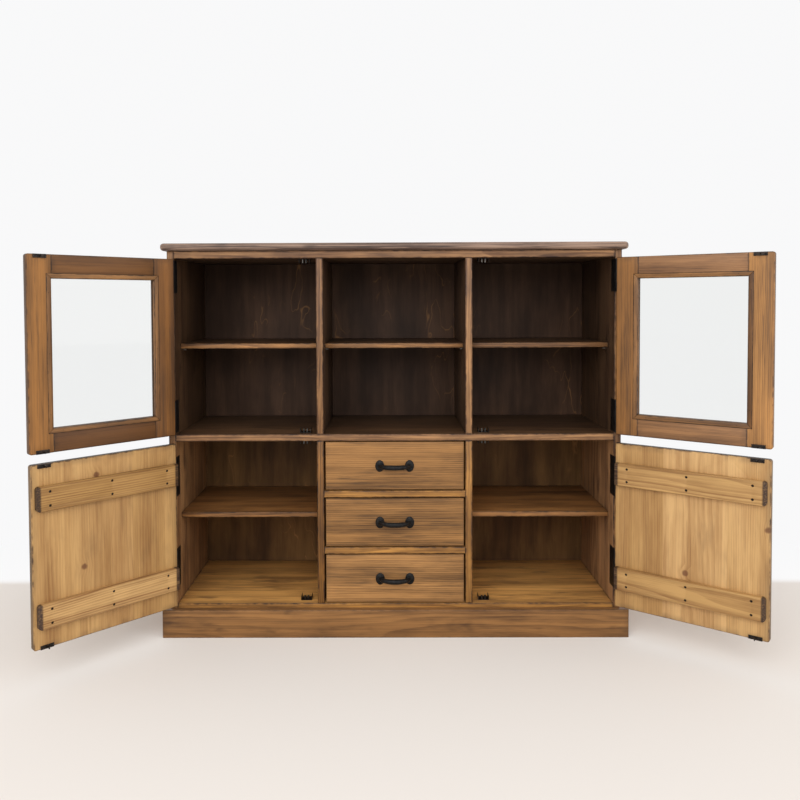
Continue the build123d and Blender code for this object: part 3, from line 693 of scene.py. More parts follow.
def board_piece(name, nodes, material, body, slot, key=lambda point: 0, closed=STANDING,
                along=None, width=WOOD_EDGE, spared=lambda edge: False, tone=None, whole=False,
                face_tints=plain, rift=False):
    """One piece made of all the boards of some CAD nodes, each with grain of its own.

    Closed takes a point to where its door is shut, so that every board is square to the axes.
    Tone gives how light a board is from its middle. The arrises are those of the whole piece
    if whole is set. Face tints give how much painted light a face gets, and how far it takes the
    dark tint.
    """
    dice = random.Random(name)
    solids = [bm for node in nodes for bm in solids_of(node, key)]
    values = {title: [] for title in ("grain", "place", "half", "board", "deep")}
    if whole:
        outline = box_of([closed @ vert.co for bm in solids for vert in bm.verts])
    for bm in solids:
        soften(bm, width, spared)
        points = [closed @ vert.co for vert in bm.verts]
        low, high = outline if whole else box_of(points)
        middle, half = (low + high) / 2, (high - low) / 2
        order = sorted(range(3), key=lambda axis: -half[axis])
        if along is not None:
            order = [along] + [axis for axis in order if axis != along]
        start = log_start(dice, rift)
        light = tone(sum(points, Vector()) / len(points)) if tone else dice.uniform(*TONE_RANGE)
        for point in points:
            place = [point[axis] - middle[axis] for axis in order]
            values["place"].append(place)
            values["grain"].append([near + off for near, off in zip(place, start)])
            values["half"].append([half[axis] for axis in order])
        for face in bm.faces:
            paler, deep = face_tints(face)
            values["board"].append(light + paler)
            values["deep"].append(deep)
    link(name, written(name, solids, values), material, body, slot, nodes)


def even(light):
    """Gives every board the same tone."""
    return lambda middle: light


def parted(axis, place, tones):
    """Gives the first tone up to a place on an axis, and the second beyond it."""
    return lambda middle: tones[middle[axis] > place]


def by_plank(tones):
    """Gives a plank door's boards their tones from the hinges to the free edge."""
    return lambda middle: tones[sum(middle.x + HINGE_EDGE > seam for seam in PLANK_SEAMS)]


X_AXIS, Y_AXIS, Z_AXIS = range(3)

# piece: nodes, material, slot, grain axis, painted light and dark tint of its faces, tones of its
# boards
CASE_BOARDS = {
    "top_wood": (("top_board",), "TopWood", "top_wood", X_AXIS, plain, None),
    "side_wood_left": (
        ("side_panel_left",), "CaseWood", "case_wood", Z_AXIS, in_case, even(0.3)),
    "side_wood_right": (
        ("side_panel_right",), "CaseWood", "case_wood", Z_AXIS, in_case, even(0.5)),
    "upper_crossing_boards": (
        ("top_panel", "mid_shelf"), "CaseWood", "case_wood", X_AXIS, in_case,
        parted(Z_AXIS, MID_SHELF[1], (0.55, 0.6))),
    "lower_crossing_boards": (
        ("bottom_board", "drawer_rails"), "FrontWood", "case_wood", X_AXIS, in_case, even(0.65)),
    "upper_dividers": (
        ("dividers_upper",), "CaseWood", "case_wood", Z_AXIS, in_case,
        parted(X_AXIS, 0, (0.45, 0.6))),
    "lower_dividers": (
        ("dividers_lower",), "FrontWood", "case_wood", Z_AXIS, in_case,
        parted(X_AXIS, 0, (0.25, 0.65))),
    "runner_strips": (("drawer_runners",), "DrawerBoxWood", "case_wood", Y_AXIS, plain, None),
    "upper_shelves": (
        ("shelf_upper_left", "shelf_upper_center", "shelf_upper_right"), "ShelfWood",
        "shelf_wood", X_AXIS, in_case, even(0.5)),
    "lower_shelves": (
        ("shelf_lower_left", "shelf_lower_right"), "ShelfWood", "shelf_wood", X_AXIS, in_case,
        even(0.35)),
    "back_sheet": (("back_panel",), "BackPlywood", "back_plywood", Z_AXIS, on_sheet, None),
    "plinth_boards": (
        ("plinth_front", "plinth_sides"), "PlinthWood", "plinth_wood", None, plain, None),
}


def beyond(closed, point):
    """How far a point is from its door's hinge edge."""
    return (closed @ point).x + HINGE_EDGE


def plank_key(closed):
    """Tells a plank door's boards apart by the seam that they lie beyond."""
    return lambda point: sum(beyond(closed, point) > seam for seam in PLANK_SEAMS)


SEAM_REACH = 0.05 * MM


def at_seam(closed):
    """Whether an edge lies at a seam between two planks."""

    def spared(edge):
        near = [abs(beyond(closed, vert.co) - seam) < SEAM_REACH
                for seam in PLANK_SEAMS for vert in edge.verts]
        return all(near[:2]) or all(near[2:])

    return spared


def bead_key(closed, node):
    """Tells four mitred beads apart by the side of the pane that they lie nearest to."""
    low, high = outline_of(node, closed)

    def key(point):
        here = closed @ point
        sides = (here.x - low.x, high.x - here.x, here.z - low.z, high.z - here.z)
        return sides.index(min(sides))

    return key


def metal_piece(name, node, material, body, slot):
    """A CAD node's sheet metal with fine soft edges and smooth knuckles."""
    solids = solids_of(node)
    for bm in solids:
        soften(bm, METAL_EDGE)
    link(name, written(name, solids, {}), material, body, slot, (node,))


# ---- Turned and forged pieces that repeat ----
def geometry_tree(name, sockets):
    """A modifier's node group whose places are points that carry out and turn."""
    inputs = (("Geometry", "Geometry", None), *sockets, ("Material", "Material", None))
    group, t, given = new_group(name, "GeometryNodeTree", inputs, (("Geometry", "Geometry"),))
    group.is_modifier = True
    return group, t, given


def pulled_in(t, mesh, top, rise, share):
    """Raises a face and shrinks it, and returns the mesh and the face."""
    raised = t.every("GeometryNodeExtrudeMesh", {"Mesh": mesh, "Selection": top,
                                                 "Individual": False, "Offset Scale": rise},
                     mode="FACES")
    inputs = {"Geometry": raised["Mesh"], "Selection": raised["Top"], "Scale": share}
    return t.take("GeometryNodeScaleElements", inputs, domain="FACE"), raised["Top"]


def put(t, piece, **inputs):
    """Moves a piece, and scales it too if asked."""
    inputs = {name.title(): value for name, value in inputs.items()}
    return t.take("GeometryNodeTransform", {"Geometry": piece} | inputs)


def stand_on_places(t, given, piece, spin=0.0):
    """Stands a piece on each place, its Z along out and its X along turn, and ends the group."""
    out, turn = (t.take("GeometryNodeInputNamedAttribute", {"Name": name},
                        data_type="FLOAT_VECTOR") for name in ("out", "turn"))
    stand = t.take("FunctionNodeAxesToRotation", {"Primary Axis": out, "Secondary Axis": turn},
                   primary_axis="Z", secondary_axis="X")
    angle = t.take("FunctionNodeAxisAngleToRotation", {"Axis": (0, 0, 1), "Angle": spin})
    turned = t.take("FunctionNodeRotateRotation", {0: stand, 1: angle}, rotation_space="LOCAL")
    inputs = {"Points": given["Geometry"], "Instance": piece, "Rotation": turned}
    placed = t.take("GeometryNodeInstanceOnPoints", inputs)
    realised = t.take("GeometryNodeRealizeInstances", {0: placed})
    inputs = {"Geometry": realised, "Material": given["Material"]}
    t.add("NodeGroupOutput", {0: t.take("GeometryNodeSetMaterial", inputs)})


# Each step up a turned dome: its share of the height, and what it leaves of the width
DOME_STEPS = ((0.62, 0.8), (0.38, 0.5))


def turned_group():
    """Screws, nails, pins and rollers: a turned stem with a domed top and perhaps a slot.

    The rim of the dome stands on the place, and the stem goes down from there.
    """
    group, t, given = geometry_tree("TurnedPieces", (
        ("Radius", "Float", 2.4 * MM), ("Length", "Float", 4 * MM), ("Dome", "Float", 0.6 * MM),
        ("Slot Width", "Float", 0.7 * MM), ("Sides", "Int", 20), ("Seed", "Int", 3)))
    inputs = {"Vertices": given["Sides"], "Radius": given["Radius"], "Depth": given["Length"]}
    stem = t.every("GeometryNodeMeshCylinder", inputs, fill_type="NGON")
    mesh, top = stem["Mesh"], stem["Top"]
    for rise, share in DOME_STEPS:
        mesh, top = pulled_in(t, mesh, top, given["Dome"] * rise, share)
    head = put(t, mesh, translation=t.join(z=given["Length"] * -0.5))
    size = t.join(given["Radius"] * 3.0, given["Slot Width"], given["Radius"] * 0.5)
    bar = put(t, t.take("GeometryNodeMeshCube", {"Size": size}),
              translation=t.join(z=given["Dome"]))
    slotted = t.take("GeometryNodeMeshBoolean", {"Mesh 1": head, "Mesh 2": bar},
                     operation="DIFFERENCE", solver="EXACT")
    cut = t.take("FunctionNodeCompare", {0: given["Slot Width"], 1: 0.0}, data_type="FLOAT",
                 operation="GREATER_THAN")
    piece = t.take("GeometryNodeSwitch", {"Switch": cut, "False": head, "True": slotted},
                   input_type="GEOMETRY")
    spin = t.take("FunctionNodeRandomValue", {2: 0.0, 3: math.pi, "Seed": given["Seed"]}, 1,
                  data_type="FLOAT")
    stand_on_places(t, given, piece, spin)
    return group


GRIP_POINTS = 41
GRIP_END_ANGLE = math.radians(1.5)
FOOT_ANGLES = [math.radians(angle) for angle in (0, 18, 36, 54, 72, 84)]
HAMMER_MARKS = (150, 150, 150)


def bowed_grip(t, given):
    """A round bar swept along a bow from foot to foot, thicker towards its middle."""
    line = t.take("GeometryNodeCurvePrimitiveLine")
    line = t.take("GeometryNodeResampleCurve", {"Curve": line, "Count": GRIP_POINTS})
    share = t.take("GeometryNodeSplineParameter", output="Factor")
    angle = t.math("MULTIPLY_ADD", share, math.pi - 2 * GRIP_END_ANGLE, GRIP_END_ANGLE)
    across, up = t.math("COSINE", angle), t.math("SINE", angle)
    power = t.math("DIVIDE", 2.0, given["Bow"])
    x = given["Span"] * 0.5 * abs(across) ** power * t.math("SIGN", across)
    bow = t.join(x, 0.0, given["Reach"] * up ** power)
    bow = t.take("GeometryNodeSetPosition", {"Geometry": line, "Position": bow})
    swell = given["Middle Radius"] - given["End Radius"]
    radius = t.math("MULTIPLY_ADD", swell, up, given["End Radius"])
    section = t.take("GeometryNodeCurvePrimitiveCircle", {"Resolution": given["Sides"],
                                                          "Radius": 1.0})
    inputs = {"Curve": bow, "Profile Curve": section, "Scale": radius, "Fill Caps": True}
    return t.take("GeometryNodeCurveToMesh", inputs)


def domed_feet(t, given):
    """Two oval feet with a low rim and a domed face."""
    inputs = {"Vertices": given["Sides"], "Radius": 1.0, "Depth": given["Foot Rim"]}
    foot = t.every("GeometryNodeMeshCylinder", inputs, fill_type="NGON")
    mesh, top = foot["Mesh"], foot["Top"]
    for here, following in zip(FOOT_ANGLES, FOOT_ANGLES[1:]):
        rise = given["Foot Dome"] * (math.sin(following) - math.sin(here))
        mesh, top = pulled_in(t, mesh, top, rise, math.cos(following) / math.cos(here))
    scale = t.join(given["Foot Width"] * 0.5, given["Foot Height"] * 0.5, 1.0)
    lift = given["Foot Rim"] * 0.5
    return [put(t, mesh, translation=t.join(given["Span"] * 0.5 * side, 0.0, lift), scale=scale)
            for side in (-1.0, 1.0)]


def handle_group():
    """A forged pull: a bowed grip that swells to its middle, on two domed and hammered feet."""
    group, t, given = geometry_tree("ForgedPulls", (
        ("Span", "Float", 77 * MM), ("Reach", "Float", 25.6 * MM), ("Bow", "Float", 1.9),
        ("End Radius", "Float", 4.5 * MM), ("Middle Radius", "Float", 6.55 * MM),
        ("Foot Width", "Float", 23.5 * MM), ("Foot Height", "Float", 30.5 * MM),
        ("Foot Rim", "Float", 1.2 * MM), ("Foot Dome", "Float", 3.2 * MM),
        ("Hammering", "Float", 0.7 * MM), ("Sides", "Int", 28)))
    joined = t.add("GeometryNodeJoinGeometry")
    for part in (bowed_grip(t, given), *domed_feet(t, given)):
        t.feed(joined.inputs[0], part)
    place = t.take("GeometryNodeInputPosition")
    above_face = t.ramp(t.split(place)[2], 0.0, 2 * MM)
    dent = (t.noise(place, HAMMER_MARKS, 1.0) - 0.5) * given["Hammering"] * above_face
    normal = t.take("GeometryNodeInputNormal")
    offset = t.take("ShaderNodeVectorMath", {0: normal, "Scale": dent}, operation="SCALE")
    inputs = {"Geometry": Value(t, joined.outputs[0]), "Offset": offset}
    stand_on_places(t, given, t.take("GeometryNodeSetPosition", inputs))
    return group


TURNED = turned_group()
PULLS = handle_group()


def grown(name, group, places, inputs, material, body, slot, nodes=()):
    """Runs a node group on places (point, out, turn) and keeps the result as a plain piece."""
    points, outs, turns = zip(*places)
    mesh = bpy.data.meshes.new(name + "_places")
    mesh.from_pydata([tuple(point) for point in points], [], [])
    write_attribute(mesh, "out", "POINT", outs)
    write_attribute(mesh, "turn", "POINT", turns)
    holder = in_scene(name + "_places", mesh)
    modifier = holder.modifiers.new(group.name, "NODES")
    modifier.node_group = group
    inputs = inputs | {"Material": MATERIALS[material]}
    for item in group.interface.items_tree:
        if item.in_out == "INPUT" and item.name in inputs:
            modifier[item.identifier] = inputs[item.name]
    ready = holder.evaluated_get(bpy.context.evaluated_depsgraph_get())
    made = bpy.data.meshes.new_from_object(ready)
    holder.modifiers.remove(modifier)
    bpy.data.objects.remove(holder)
    if not made.polygons:
        raise RuntimeError(f"{name} came out empty")
    made.name = name
    shade(made)
    link(name, made, material, body, slot, nodes)


def moved(places, matrix):
    """Places moved by a matrix that may also mirror them."""
    turn = matrix.to_3x3()
    return [(matrix @ Vector(point), turn @ Vector(out), turn @ Vector(along))
            for point, out, along in places]


# ---- Where the screws and nails stand ----
RIGHT, LEFT = (1, 0, 0), (-1, 0, 0)
IN, OUT = (0, 1, 0), (0, -1, 0)
UP = (0, 0, 1)

HINGE_SCREW = {"Length": 3 * MM, "Dome": 0.12 * MM}
SMALL_SCREW = {"Length": 2 * MM, "Dome": 0.4 * MM}
BATTEN_SCREW = {"Length": 3 * MM, "Dome": 0.5 * MM}
BEAD_NAIL = {"Length": 2 * MM, "Dome": 0.15 * MM, "Slot Width": 0.0, "Sides": 10}

HEAD_LIFT = 0.15 * MM
FLUSH_LIFT = 0.04 * MM
HINGE_SCREW_COUNT = 4
HINGE_SCREW_INSET = 12 * MM
CASE_SCREW_DEPTHS = (CASE_FRONT + 10 * MM, CASE_FRONT + 23 * MM)
DOOR_SCREW_DEPTHS = (CASE_FRONT + 6 * MM, CASE_FRONT + 11 * MM)
CATCH_SHEET = 1.2 * MM
CATCH_SCREW_SPREAD = 7 * MM
CATCH_SCREW_DEPTH = DOOR_BACK + 19 * MM
CATCH_SEATS = ((MID_SHELF[1], 1), (CEILING, -1), (BOTTOM_TOP, 1), (MID_SHELF[0], -1))
STRIKE_THICKNESS = 1.5 * MM
STRIKE_SCREW_SPREAD = 10.5 * MM
STRIKE_SCREW_INSET = 4.5 * MM
BEAD_NAIL_INSET = 6 * MM
BEAD_NAIL_SHARES = (0.12, 0.5, 0.88)
BAY_MIDDLES = (-384 * MM, 0.0, 384 * MM)
ROLLER_DOME = 0.3 * MM
PIN_DOME = 0.7 * MM


def hinge_screws(spans, x, depths, out):
    """Screws along each hinge leaf, by turns near and far from the knuckles."""
    places = []
    for low, high in spans:
        start, run = low.z + HINGE_SCREW_INSET, high.z - low.z - 2 * HINGE_SCREW_INSET
        for index in range(HINGE_SCREW_COUNT):
            z = start + run * index / (HINGE_SCREW_COUNT - 1)
            places.append(((x, depths[index % 2], z), out, UP))
    return places


def catch_screws():
    """Two screws in the base of each catch on the left half of the case."""
    return [((CATCH_X + side, CATCH_SCREW_DEPTH, seat + away * (CATCH_SHEET + HEAD_LIFT)),
             (0, 0, away), RIGHT)
            for seat, away in CATCH_SEATS for side in (-CATCH_SCREW_SPREAD, CATCH_SCREW_SPREAD)]


def strike_screws(edges):
    """Two screws in each strike at a door's lower and upper edges."""
    y = DOOR_BACK + STRIKE_THICKNESS + HEAD_LIFT
    return [((CATCH_X + side, y, edge + inward * STRIKE_SCREW_INSET), IN, RIGHT)
            for edge, inward in zip(edges, (1, -1))
            for side in (-STRIKE_SCREW_SPREAD, STRIKE_SCREW_SPREAD)]


def bead_nails(low, high):
    """Three nails along each bead of a pane."""
    inset = BEAD_NAIL_INSET
    spots = []
    for share in BEAD_NAIL_SHARES:
        x = low.x + share * (high.x - low.x)
        z = low.z + share * (high.z - low.z)
        spots += [(x, low.z + inset), (x, high.z - inset), (low.x + inset, z), (high.x - inset, z)]
    return [((x, DOOR_BACK, z), IN, RIGHT) for x, z in spots]


def screw_tops(node, closed):
    """The outer ends of a node's screws, which point into a door."""
    return [(((low.x + high.x) / 2, high.y, (low.z + high.z) / 2), IN, RIGHT)
            for low, high in boxes(node, closed)]


# ---- Properties ----
def length(title, description, default, low, high):
    """A size in millimetres that a user may change."""
    return FloatProperty(name=title, description=description, default=default * MM,
                         min=low * MM, max=high * MM, unit="LENGTH")


class CabinetFittings(bpy.types.PropertyGroup):
    screw_radius: length("Screw head radius", "Radius of the hinge screws' heads", 2.6, 1, 6)
    small_screw_radius: length(
        "Small screw head radius", "Radius of the catch and strike screws' heads", 2.0, 1, 6)
    batten_screw_radius: length(
        "Batten screw radius", "Radius of the sunk screws in the door battens", 3.2, 1, 6)
    nail_radius: length(
        "Nail head radius", "Radius of the nails in the glazing beads", 0.8, 0.2, 3)
    slot_width: length("Slot width", "Width of the slot across a screw's head", 0.7, 0.2, 2)
    pull_span: length("Pull span", "Distance between the feet of a forged pull", 77, 40, 160)
    pull_reach: length(
        "Pull reach", "How far a forged pull stands out from its face", 25.6, 10, 60)
    pull_sides: IntProperty(
        name="Pull sides", description="Facets round the grip of a forged pull",
        default=28, min=8, max=64)


class CabinetStage(bpy.types.PropertyGroup):
    floor_colour: FloatVectorProperty(
        name="Floor colour", description="Colour of the plain floor round the cabinet",
        default=(0.75, 0.705, 0.66), size=3, min=0, max=1, subtype="COLOR")
    wall_colour: FloatVectorProperty(
        name="Wall colour", description="Colour of the ground behind the cabinet",
        default=(0.945, 0.945, 0.95), size=3, min=0, max=1, subtype="COLOR")
    key_power: FloatProperty(
        name="Key power", description="Power of the large front light",
        default=62, min=0, max=1000, unit="POWER")
    sky_strength: FloatProperty(
        name="Sky strength", description="Strength of the even light from all round",
        default=0.98, min=0, max=4)


# ---- Operators ----
class CabinetOperator:
    """What the cabinet's operators share."""
    bl_options = {"REGISTER", "UNDO"}


class CABINET_OT_case(CabinetOperator, bpy.types.Operator):
    """Finish the boards of the standing case"""
    bl_idname = "cabinet.case"
    bl_label = "Case boards"

    def execute(self, context):
        for name, (nodes, material, slot, along, face_tints, tone) in CASE_BOARDS.items():
            board_piece(name, nodes, material, "cabinet", slot, along=along, face_tints=face_tints,
                        tone=tone)
        return {"FINISHED"}


# How light the boards of each door are: hinge and free stile, lower and upper rail
GLAZED_TONES = {"upper_left": (0.08, 0.45, 0.0, 0.2), "upper_right": (0.42, 1.1, 1.1, 1.35)}
# Planks from the hinge to the free edge, lower and upper batten
PLANK_TONES = {"lower_left": (0.45, 0.58, 0.55, 0.6, 0.2),
               "lower_right": (0.5, 0.8, 0.7, 0.42, 0.45)}
DRAWER_TONES = {"upper": 0.45, "middle": 0.45, "lower": 0.6}
# How far the edge faces of a door's boards take the dark tint
FRAME_EDGE_TINT = 0.7
PLANK_EDGE_TINT = 0.8 / LOWER_BAY_STAIN_AND_SHADE
UPPER_DOOR = (MID_SHELF[1] + DOOR_GAP, CEILING - DOOR_GAP)
LOWER_DOOR = (BOTTOM_TOP + DOOR_GAP, MID_SHELF[0] - DOOR_GAP)


class CABINET_OT_glazed_doors(CabinetOperator, bpy.types.Operator):
    """Finish the frames, beads and panes of the two glazed doors"""
    bl_idname = "cabinet.glazed_doors"
    bl_label = "Glazed doors"

    def execute(self, context):
        nail = BEAD_NAIL | {"Radius": context.scene.cabinet_fittings.nail_radius}
        for door in GLAZED_DOORS:
            body = "door_" + door
            place = DOOR_PLACES[door]
            closed = place.inverted()
            tones = GLAZED_TONES[door]
            framing = dict(body=body, closed=closed, face_tints=on_door(closed, FRAME_EDGE_TINT),
                           rift=True)
            board_piece("stiles_" + door, (body + "_stiles",), "StileWood", slot="stile_wood",
                        tone=parted(X_AXIS, DOOR_WIDTH / 2 - HINGE_EDGE, tones[:2]), **framing)
            board_piece("rails_" + door, (body + "_rails",), "DoorRailWood",
                        slot="door_rail_wood",
                        tone=parted(Z_AXIS, sum(UPPER_DOOR) / 2, tones[2:]), **framing)
            beads = body + "_beads"
            board_piece("beads_" + door, (beads,), "BeadWood", body, "bead_wood",
                        key=bead_key(closed, beads), closed=closed, width=BEAD_EDGE)
            nails = bead_nails(*outline_of(beads, closed))
            grown("bead_nails_" + door, TURNED, moved(nails, place), nail, "ScrewSteel", body,
                  "screw_steel")
            give_material(frame["nodes"][body + "_glass"].data, "PaneGlass")
        return {"FINISHED"}


class CABINET_OT_plank_doors(CabinetOperator, bpy.types.Operator):
    """Finish the planks, battens and screws of the two plank doors"""
    bl_idname = "cabinet.plank_doors"
    bl_label = "Plank doors"

    def execute(self, context):
        fittings = context.scene.cabinet_fittings
        screw = BATTEN_SCREW | {"Radius": fittings.batten_screw_radius,
                                "Slot Width": fittings.slot_width}
        for door in PLANK_DOORS:
            body = "door_" + door
            place = DOOR_PLACES[door]
            closed = place.inverted()
            tones = PLANK_TONES[door]
            board_piece("planks_" + door, (body + "_planks",), "PlankWood", body, "plank_wood",
                        key=plank_key(closed), closed=closed, along=Z_AXIS,
                        spared=at_seam(closed), whole=True, tone=by_plank(tones),
                        face_tints=on_door(closed, PLANK_EDGE_TINT))
            board_piece("battens_" + door, (body + "_battens",), "BattenWood", body,
                        "batten_wood", closed=closed,
                        tone=parted(Z_AXIS, sum(LOWER_DOOR) / 2, tones[3:]))
            screws = body + "_batten_screws"
            grown("batten_screw_heads_" + door, TURNED, moved(screw_tops(screws, closed), place),
                  screw, "ScrewSteel", body, "screw_steel", (screws,))
        return {"FINISHED"}


class CABINET_OT_drawers(CabinetOperator, bpy.types.Operator):
    """Finish the fronts, boxes and bottoms of the drawers"""
    bl_idname = "cabinet.drawers"
    bl_label = "Drawers"

    def execute(self, context):
        for drawer in DRAWERS:
            body = "drawer_" + drawer
            board_piece("front_" + drawer, (body + "_front",), "DrawerFrontWood", body,
                        "drawer_front_wood", along=X_AXIS, tone=even(DRAWER_TONES[drawer]),
                        rift=True)
            board_piece("box_" + drawer, (body + "_box",), "DrawerBoxWood", body,
                        "drawer_box_wood")
            board_piece("bottom_" + drawer, (body + "_bottom",), "DrawerBoxWood", body,
                        "drawer_plywood")
        return {"FINISHED"}


class CABINET_OT_hinges(CabinetOperator, bpy.types.Operator):
    """Finish the butt hinges and their screws"""
    bl_idname = "cabinet.hinges"
    bl_label = "Hinges"

    def execute(self, context):
        fittings = context.scene.cabinet_fittings
        screw = HINGE_SCREW | {"Radius": fittings.screw_radius, "Slot Width": fittings.slot_width}
        metal_piece("case_hinges", "case_hinge_leaves", "HingeIron", "cabinet", "hinge_iron")
        spans = [span for span in boxes("case_hinge_leaves") if span[0].x < 0]
        case = hinge_screws(spans, FLUSH_LIFT - INNER_SIDE, CASE_SCREW_DEPTHS, RIGHT)
        grown("case_hinge_screws", TURNED, case + moved(case, MIRRORED), screw, "HingeIron",
              "cabinet", "hinge_iron")
        x = -HINGE_EDGE - LEAF_THICKNESS - FLUSH_LIFT
        for door in DOORS:
            body = "door_" + door
            place = DOOR_PLACES[door]
            leaves = body + "_hinge_leaves"
            metal_piece("hinge_" + door, leaves, "HingeIron", body, "hinge_iron")
            places = hinge_screws(boxes(leaves, place.inverted()), x, DOOR_SCREW_DEPTHS, LEFT)
            grown("hinge_screws_" + door, TURNED, moved(places, place), screw, "HingeIron", body,
                  "hinge_iron")
        return {"FINISHED"}


class CABINET_OT_catches(CabinetOperator, bpy.types.Operator):
    """Finish the roller catches, their strikes and the shelf pins"""
    bl_idname = "cabinet.catches"
    bl_label = "Catches and shelf pins"

    def execute(self, context):
        fittings = context.scene.cabinet_fittings
        screw = SMALL_SCREW | {"Radius": fittings.small_screw_radius,
                               "Slot Width": fittings.slot_width}
        metal_piece("catch_sheets", "catch_frames", "CatchSteel", "cabinet", "catch_steel")
        case = catch_screws()
        grown("catch_screws", TURNED, case + moved(case, MIRRORED), screw, "ScrewSteel",
              "cabinet", "screw_steel")
        self.rods("rollers", "catch_rollers", UP, "RollerSteel", "roller_steel", ROLLER_DOME)
        self.rods("pins", "shelf_pins", RIGHT, "PinSteel", "pin_steel", PIN_DOME)
        for door in DOORS:
            body = "door_" + door
            metal_piece("strike_" + door, body + "_strikes", "CatchSteel", body, "catch_steel")
            places = strike_screws(UPPER_DOOR if door in GLAZED_DOORS else LOWER_DOOR)
            grown("strike_screws_" + door, TURNED, moved(places, DOOR_PLACES[door]), screw,
                  "ScrewSteel", body, "screw_steel")
        return {"FINISHED"}

    def rods(self, name, node, out, material, slot, dome):
        """Round rods in place of a node's faceted ones, their domed ends towards a bay's middle."""
        along = Vector(out)
        places = []
        for low, high in boxes(node):
            middle, size = (low + high) / 2, high - low
            bay = min(BAY_MIDDLES, key=lambda x: abs(x - middle.x))
            way = along * (-1 if out == RIGHT and middle.x > bay else 1)
            places.append((middle + way * (size.dot(along) / 2 - dome), way, IN))
        inputs = {"Radius": size.y / 2, "Length": size.dot(along) - dome, "Dome": dome,
                  "Slot Width": 0.0}
        grown(name, TURNED, places, inputs, material, "cabinet", slot, (node,))


class CABINET_OT_pulls(CabinetOperator, bpy.types.Operator):
    """Forge the pulls of the drawers and doors"""
    bl_idname = "cabinet.pulls"
    bl_label = "Forged pulls"

    def execute(self, context):
        fittings = context.scene.cabinet_fittings
        sizes = {"Span": fittings.pull_span, "Reach": fittings.pull_reach,
                 "Sides": fittings.pull_sides}
        for drawer in DRAWERS:
            self.pull("drawer_" + drawer, 0, RIGHT, STANDING, sizes)
        for door in DOORS:
            self.pull("door_" + door, DOOR_HANDLE_X, UP, DOOR_PLACES[door], sizes)
        return {"FINISHED"}

    def pull(self, body, x, turn, place, sizes):
        """One pull on a shut drawer's or door's front, moved to where that stands."""
        node = body + "_handle"
        low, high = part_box(node)
        here = ((x, CASE_FRONT, (low.z + high.z) / 2), OUT, turn)
        grown("pull_" + body, PULLS, moved([here], place), sizes, "ForgedIron", body,
              "handle_iron", (node,))


# ---- Stage ----
CAMERA_PLACE = (-0.01506, -1.95918, 0.86802)
CAMERA_YAW = 0.340
CAMERA_PITCH = 1.859
CAMERA_ROLL = -0.231
SENSOR = 36.0
PICTURE_WIDTH = 800
FOCAL_PIXELS = 764.35
CENTRE_PIXEL = (383.76, 326.72)

FLOOR_HALF = 14
WALL_LINE = 0.36
WALL_BLEND = 0.06
FLOOR_FADE = (2.2, 5.0)
GLOW_FADE = (0.8, 1.6)
CLOUD_COLOUR = (0.7, 0.66, 0.62, 1)
# name: place, what it points at, size, share of the key power
LAMPS = {
    "FrontLight": ((-0.5, -3.2, 2.3), (0, 0.1, 0.55), (3.4, 2.2), 1.0),
    "SideLight": ((3.0, -1.6, 1.6), (0, 0.1, 0.5), (2.2, 2.2), 0.25),
}


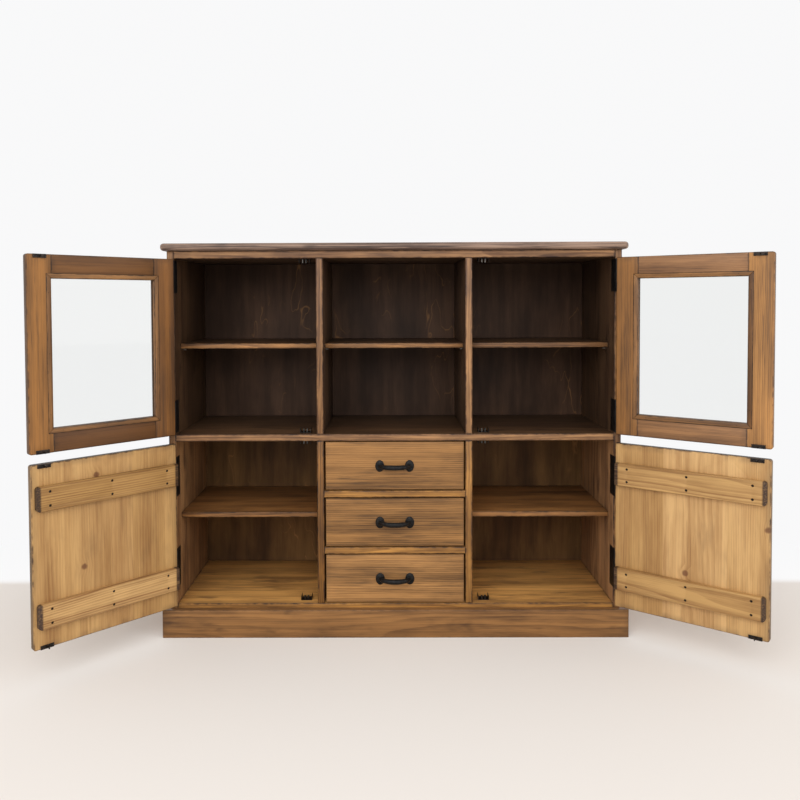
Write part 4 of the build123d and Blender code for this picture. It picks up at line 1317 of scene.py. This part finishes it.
class CABINET_OT_stage(CabinetOperator, bpy.types.Operator):
    """Set up the floor, the light and the camera"""
    bl_idname = "cabinet.stage"
    bl_label = "Floor, light and camera"

    def execute(self, context):
        settings = context.scene.cabinet_stage
        self.floor(settings)
        self.sky(context, settings)
        for name in LAMPS:
            self.lamp(name, settings.key_power)
        self.camera(context)
        context.scene.view_settings.view_transform = "Standard"
        return {"FINISHED"}

    def floor(self, settings):
        """A plain pale floor that turns white behind the cabinet and far from it."""
        half = FLOOR_HALF
        mesh = bpy.data.meshes.new("floor")
        mesh.from_pydata([(-half, -half, 0), (half, -half, 0), (half, half, 0), (-half, half, 0)],
                         [], [(0, 1, 2, 3)])
        material, t = empty_material("PaleFloor")
        place = t.spot()
        pale = (*settings.floor_colour, 1)
        wall = (*settings.wall_colour, 1)
        base = t.blend(t.noise(place, (1.3, 0.5, 1)) * 0.12, pale, CLOUD_COLOUR)
        behind = t.ramp(t.split(place)[1], WALL_LINE, WALL_LINE + WALL_BLEND)
        far = t.vector("LENGTH", place, output="Value")
        white = t.math("MAXIMUM", behind, t.ramp(far, *FLOOR_FADE))
        inputs = {"Color": t.blend(white, base, wall), "Roughness": 0.5}
        matt = t.take("ShaderNodeBsdfDiffuse", inputs)
        glow = t.take("ShaderNodeEmission", {"Color": wall, "Strength": 1.0})
        seen = t.take("ShaderNodeLightPath", output="Is Camera Ray")
        end_material(t, t.mix_shaders(white * t.ramp(far, *GLOW_FADE) * seen, matt, glow))
        mesh.materials.append(material)
        floor = in_scene("floor", mesh)

    def sky(self, context, settings):
        """Even white light, and a white background for the camera, metal and glass."""
        world = bpy.data.worlds.new("StudioSky")
        world.use_nodes = True
        world.node_tree.nodes.clear()
        t = Tree(world.node_tree)
        path = t.every("ShaderNodeLightPath")
        seen = t.math("MAXIMUM", path["Is Camera Ray"], path["Is Glossy Ray"])
        seen = t.math("MAXIMUM", seen, path["Is Transmission Ray"])
        white = (*settings.wall_colour, 1)
        light, shown = (t.take("ShaderNodeBackground", {"Color": white, "Strength": strength})
                        for strength in (settings.sky_strength, 1.0))
        t.add("ShaderNodeOutputWorld", {"Surface": t.mix_shaders(seen, light, shown)})
        context.scene.world = world

    def lamp(self, name, key_power):
        place, target, size, share = LAMPS[name]
        light = bpy.data.lights.new(name, "AREA")
        light.shape = "RECTANGLE"
        light.size, light.size_y = size
        light.energy = key_power * share
        lamp = in_scene(name, light)
        lamp.location = place
        lamp.rotation_euler = (Vector(target) - Vector(place)).to_track_quat("-Z", "Y").to_euler()

    def camera(self, context):
        camera = bpy.data.cameras.new("Camera")
        camera.sensor_width = SENSOR
        camera.lens = FOCAL_PIXELS / PICTURE_WIDTH * SENSOR
        camera.shift_x = 0.5 - CENTRE_PIXEL[0] / PICTURE_WIDTH
        camera.shift_y = CENTRE_PIXEL[1] / PICTURE_WIDTH - 0.5
        camera.clip_end = 100
        holder = in_scene("Camera", camera)
        turn = (Matrix.Rotation(math.radians(CAMERA_YAW), 4, "Z")
                @ Matrix.Rotation(math.radians(90 - CAMERA_PITCH), 4, "X")
                @ Matrix.Rotation(math.radians(CAMERA_ROLL), 4, "Z"))
        holder.matrix_world = Matrix.Translation(CAMERA_PLACE) @ turn
        context.scene.camera = holder


OPERATORS = (CABINET_OT_case, CABINET_OT_glazed_doors, CABINET_OT_plank_doors, CABINET_OT_drawers,
             CABINET_OT_hinges, CABINET_OT_catches, CABINET_OT_pulls, CABINET_OT_stage)


class CABINET_PT_build(bpy.types.Panel):
    """The cabinet's pieces, in the order they are made"""
    bl_idname = "CABINET_PT_build"
    bl_label = "Kitchen Cabinet"
    bl_space_type = "VIEW_3D"
    bl_region_type = "UI"
    bl_category = "Cabinet"

    def draw(self, context):
        for operator in OPERATORS:
            self.layout.operator(operator.bl_idname)
        for settings in (context.scene.cabinet_fittings, context.scene.cabinet_stage):
            for name in settings.__annotations__:
                self.layout.prop(settings, name)


CLASSES = (CabinetFittings, CabinetStage, *OPERATORS, CABINET_PT_build)


def register():
    for cls in CLASSES:
        bpy.utils.register_class(cls)
    bpy.types.Scene.cabinet_fittings = PointerProperty(type=CabinetFittings)
    bpy.types.Scene.cabinet_stage = PointerProperty(type=CabinetStage)


def unregister():
    del bpy.types.Scene.cabinet_stage
    del bpy.types.Scene.cabinet_fittings
    for cls in reversed(CLASSES):
        bpy.utils.unregister_class(cls)


def main():
    register()
    for operator in OPERATORS:
        group, name = operator.bl_idname.split(".")
        getattr(getattr(bpy.ops, group), name)()


if __name__ == "__main__":
    main()
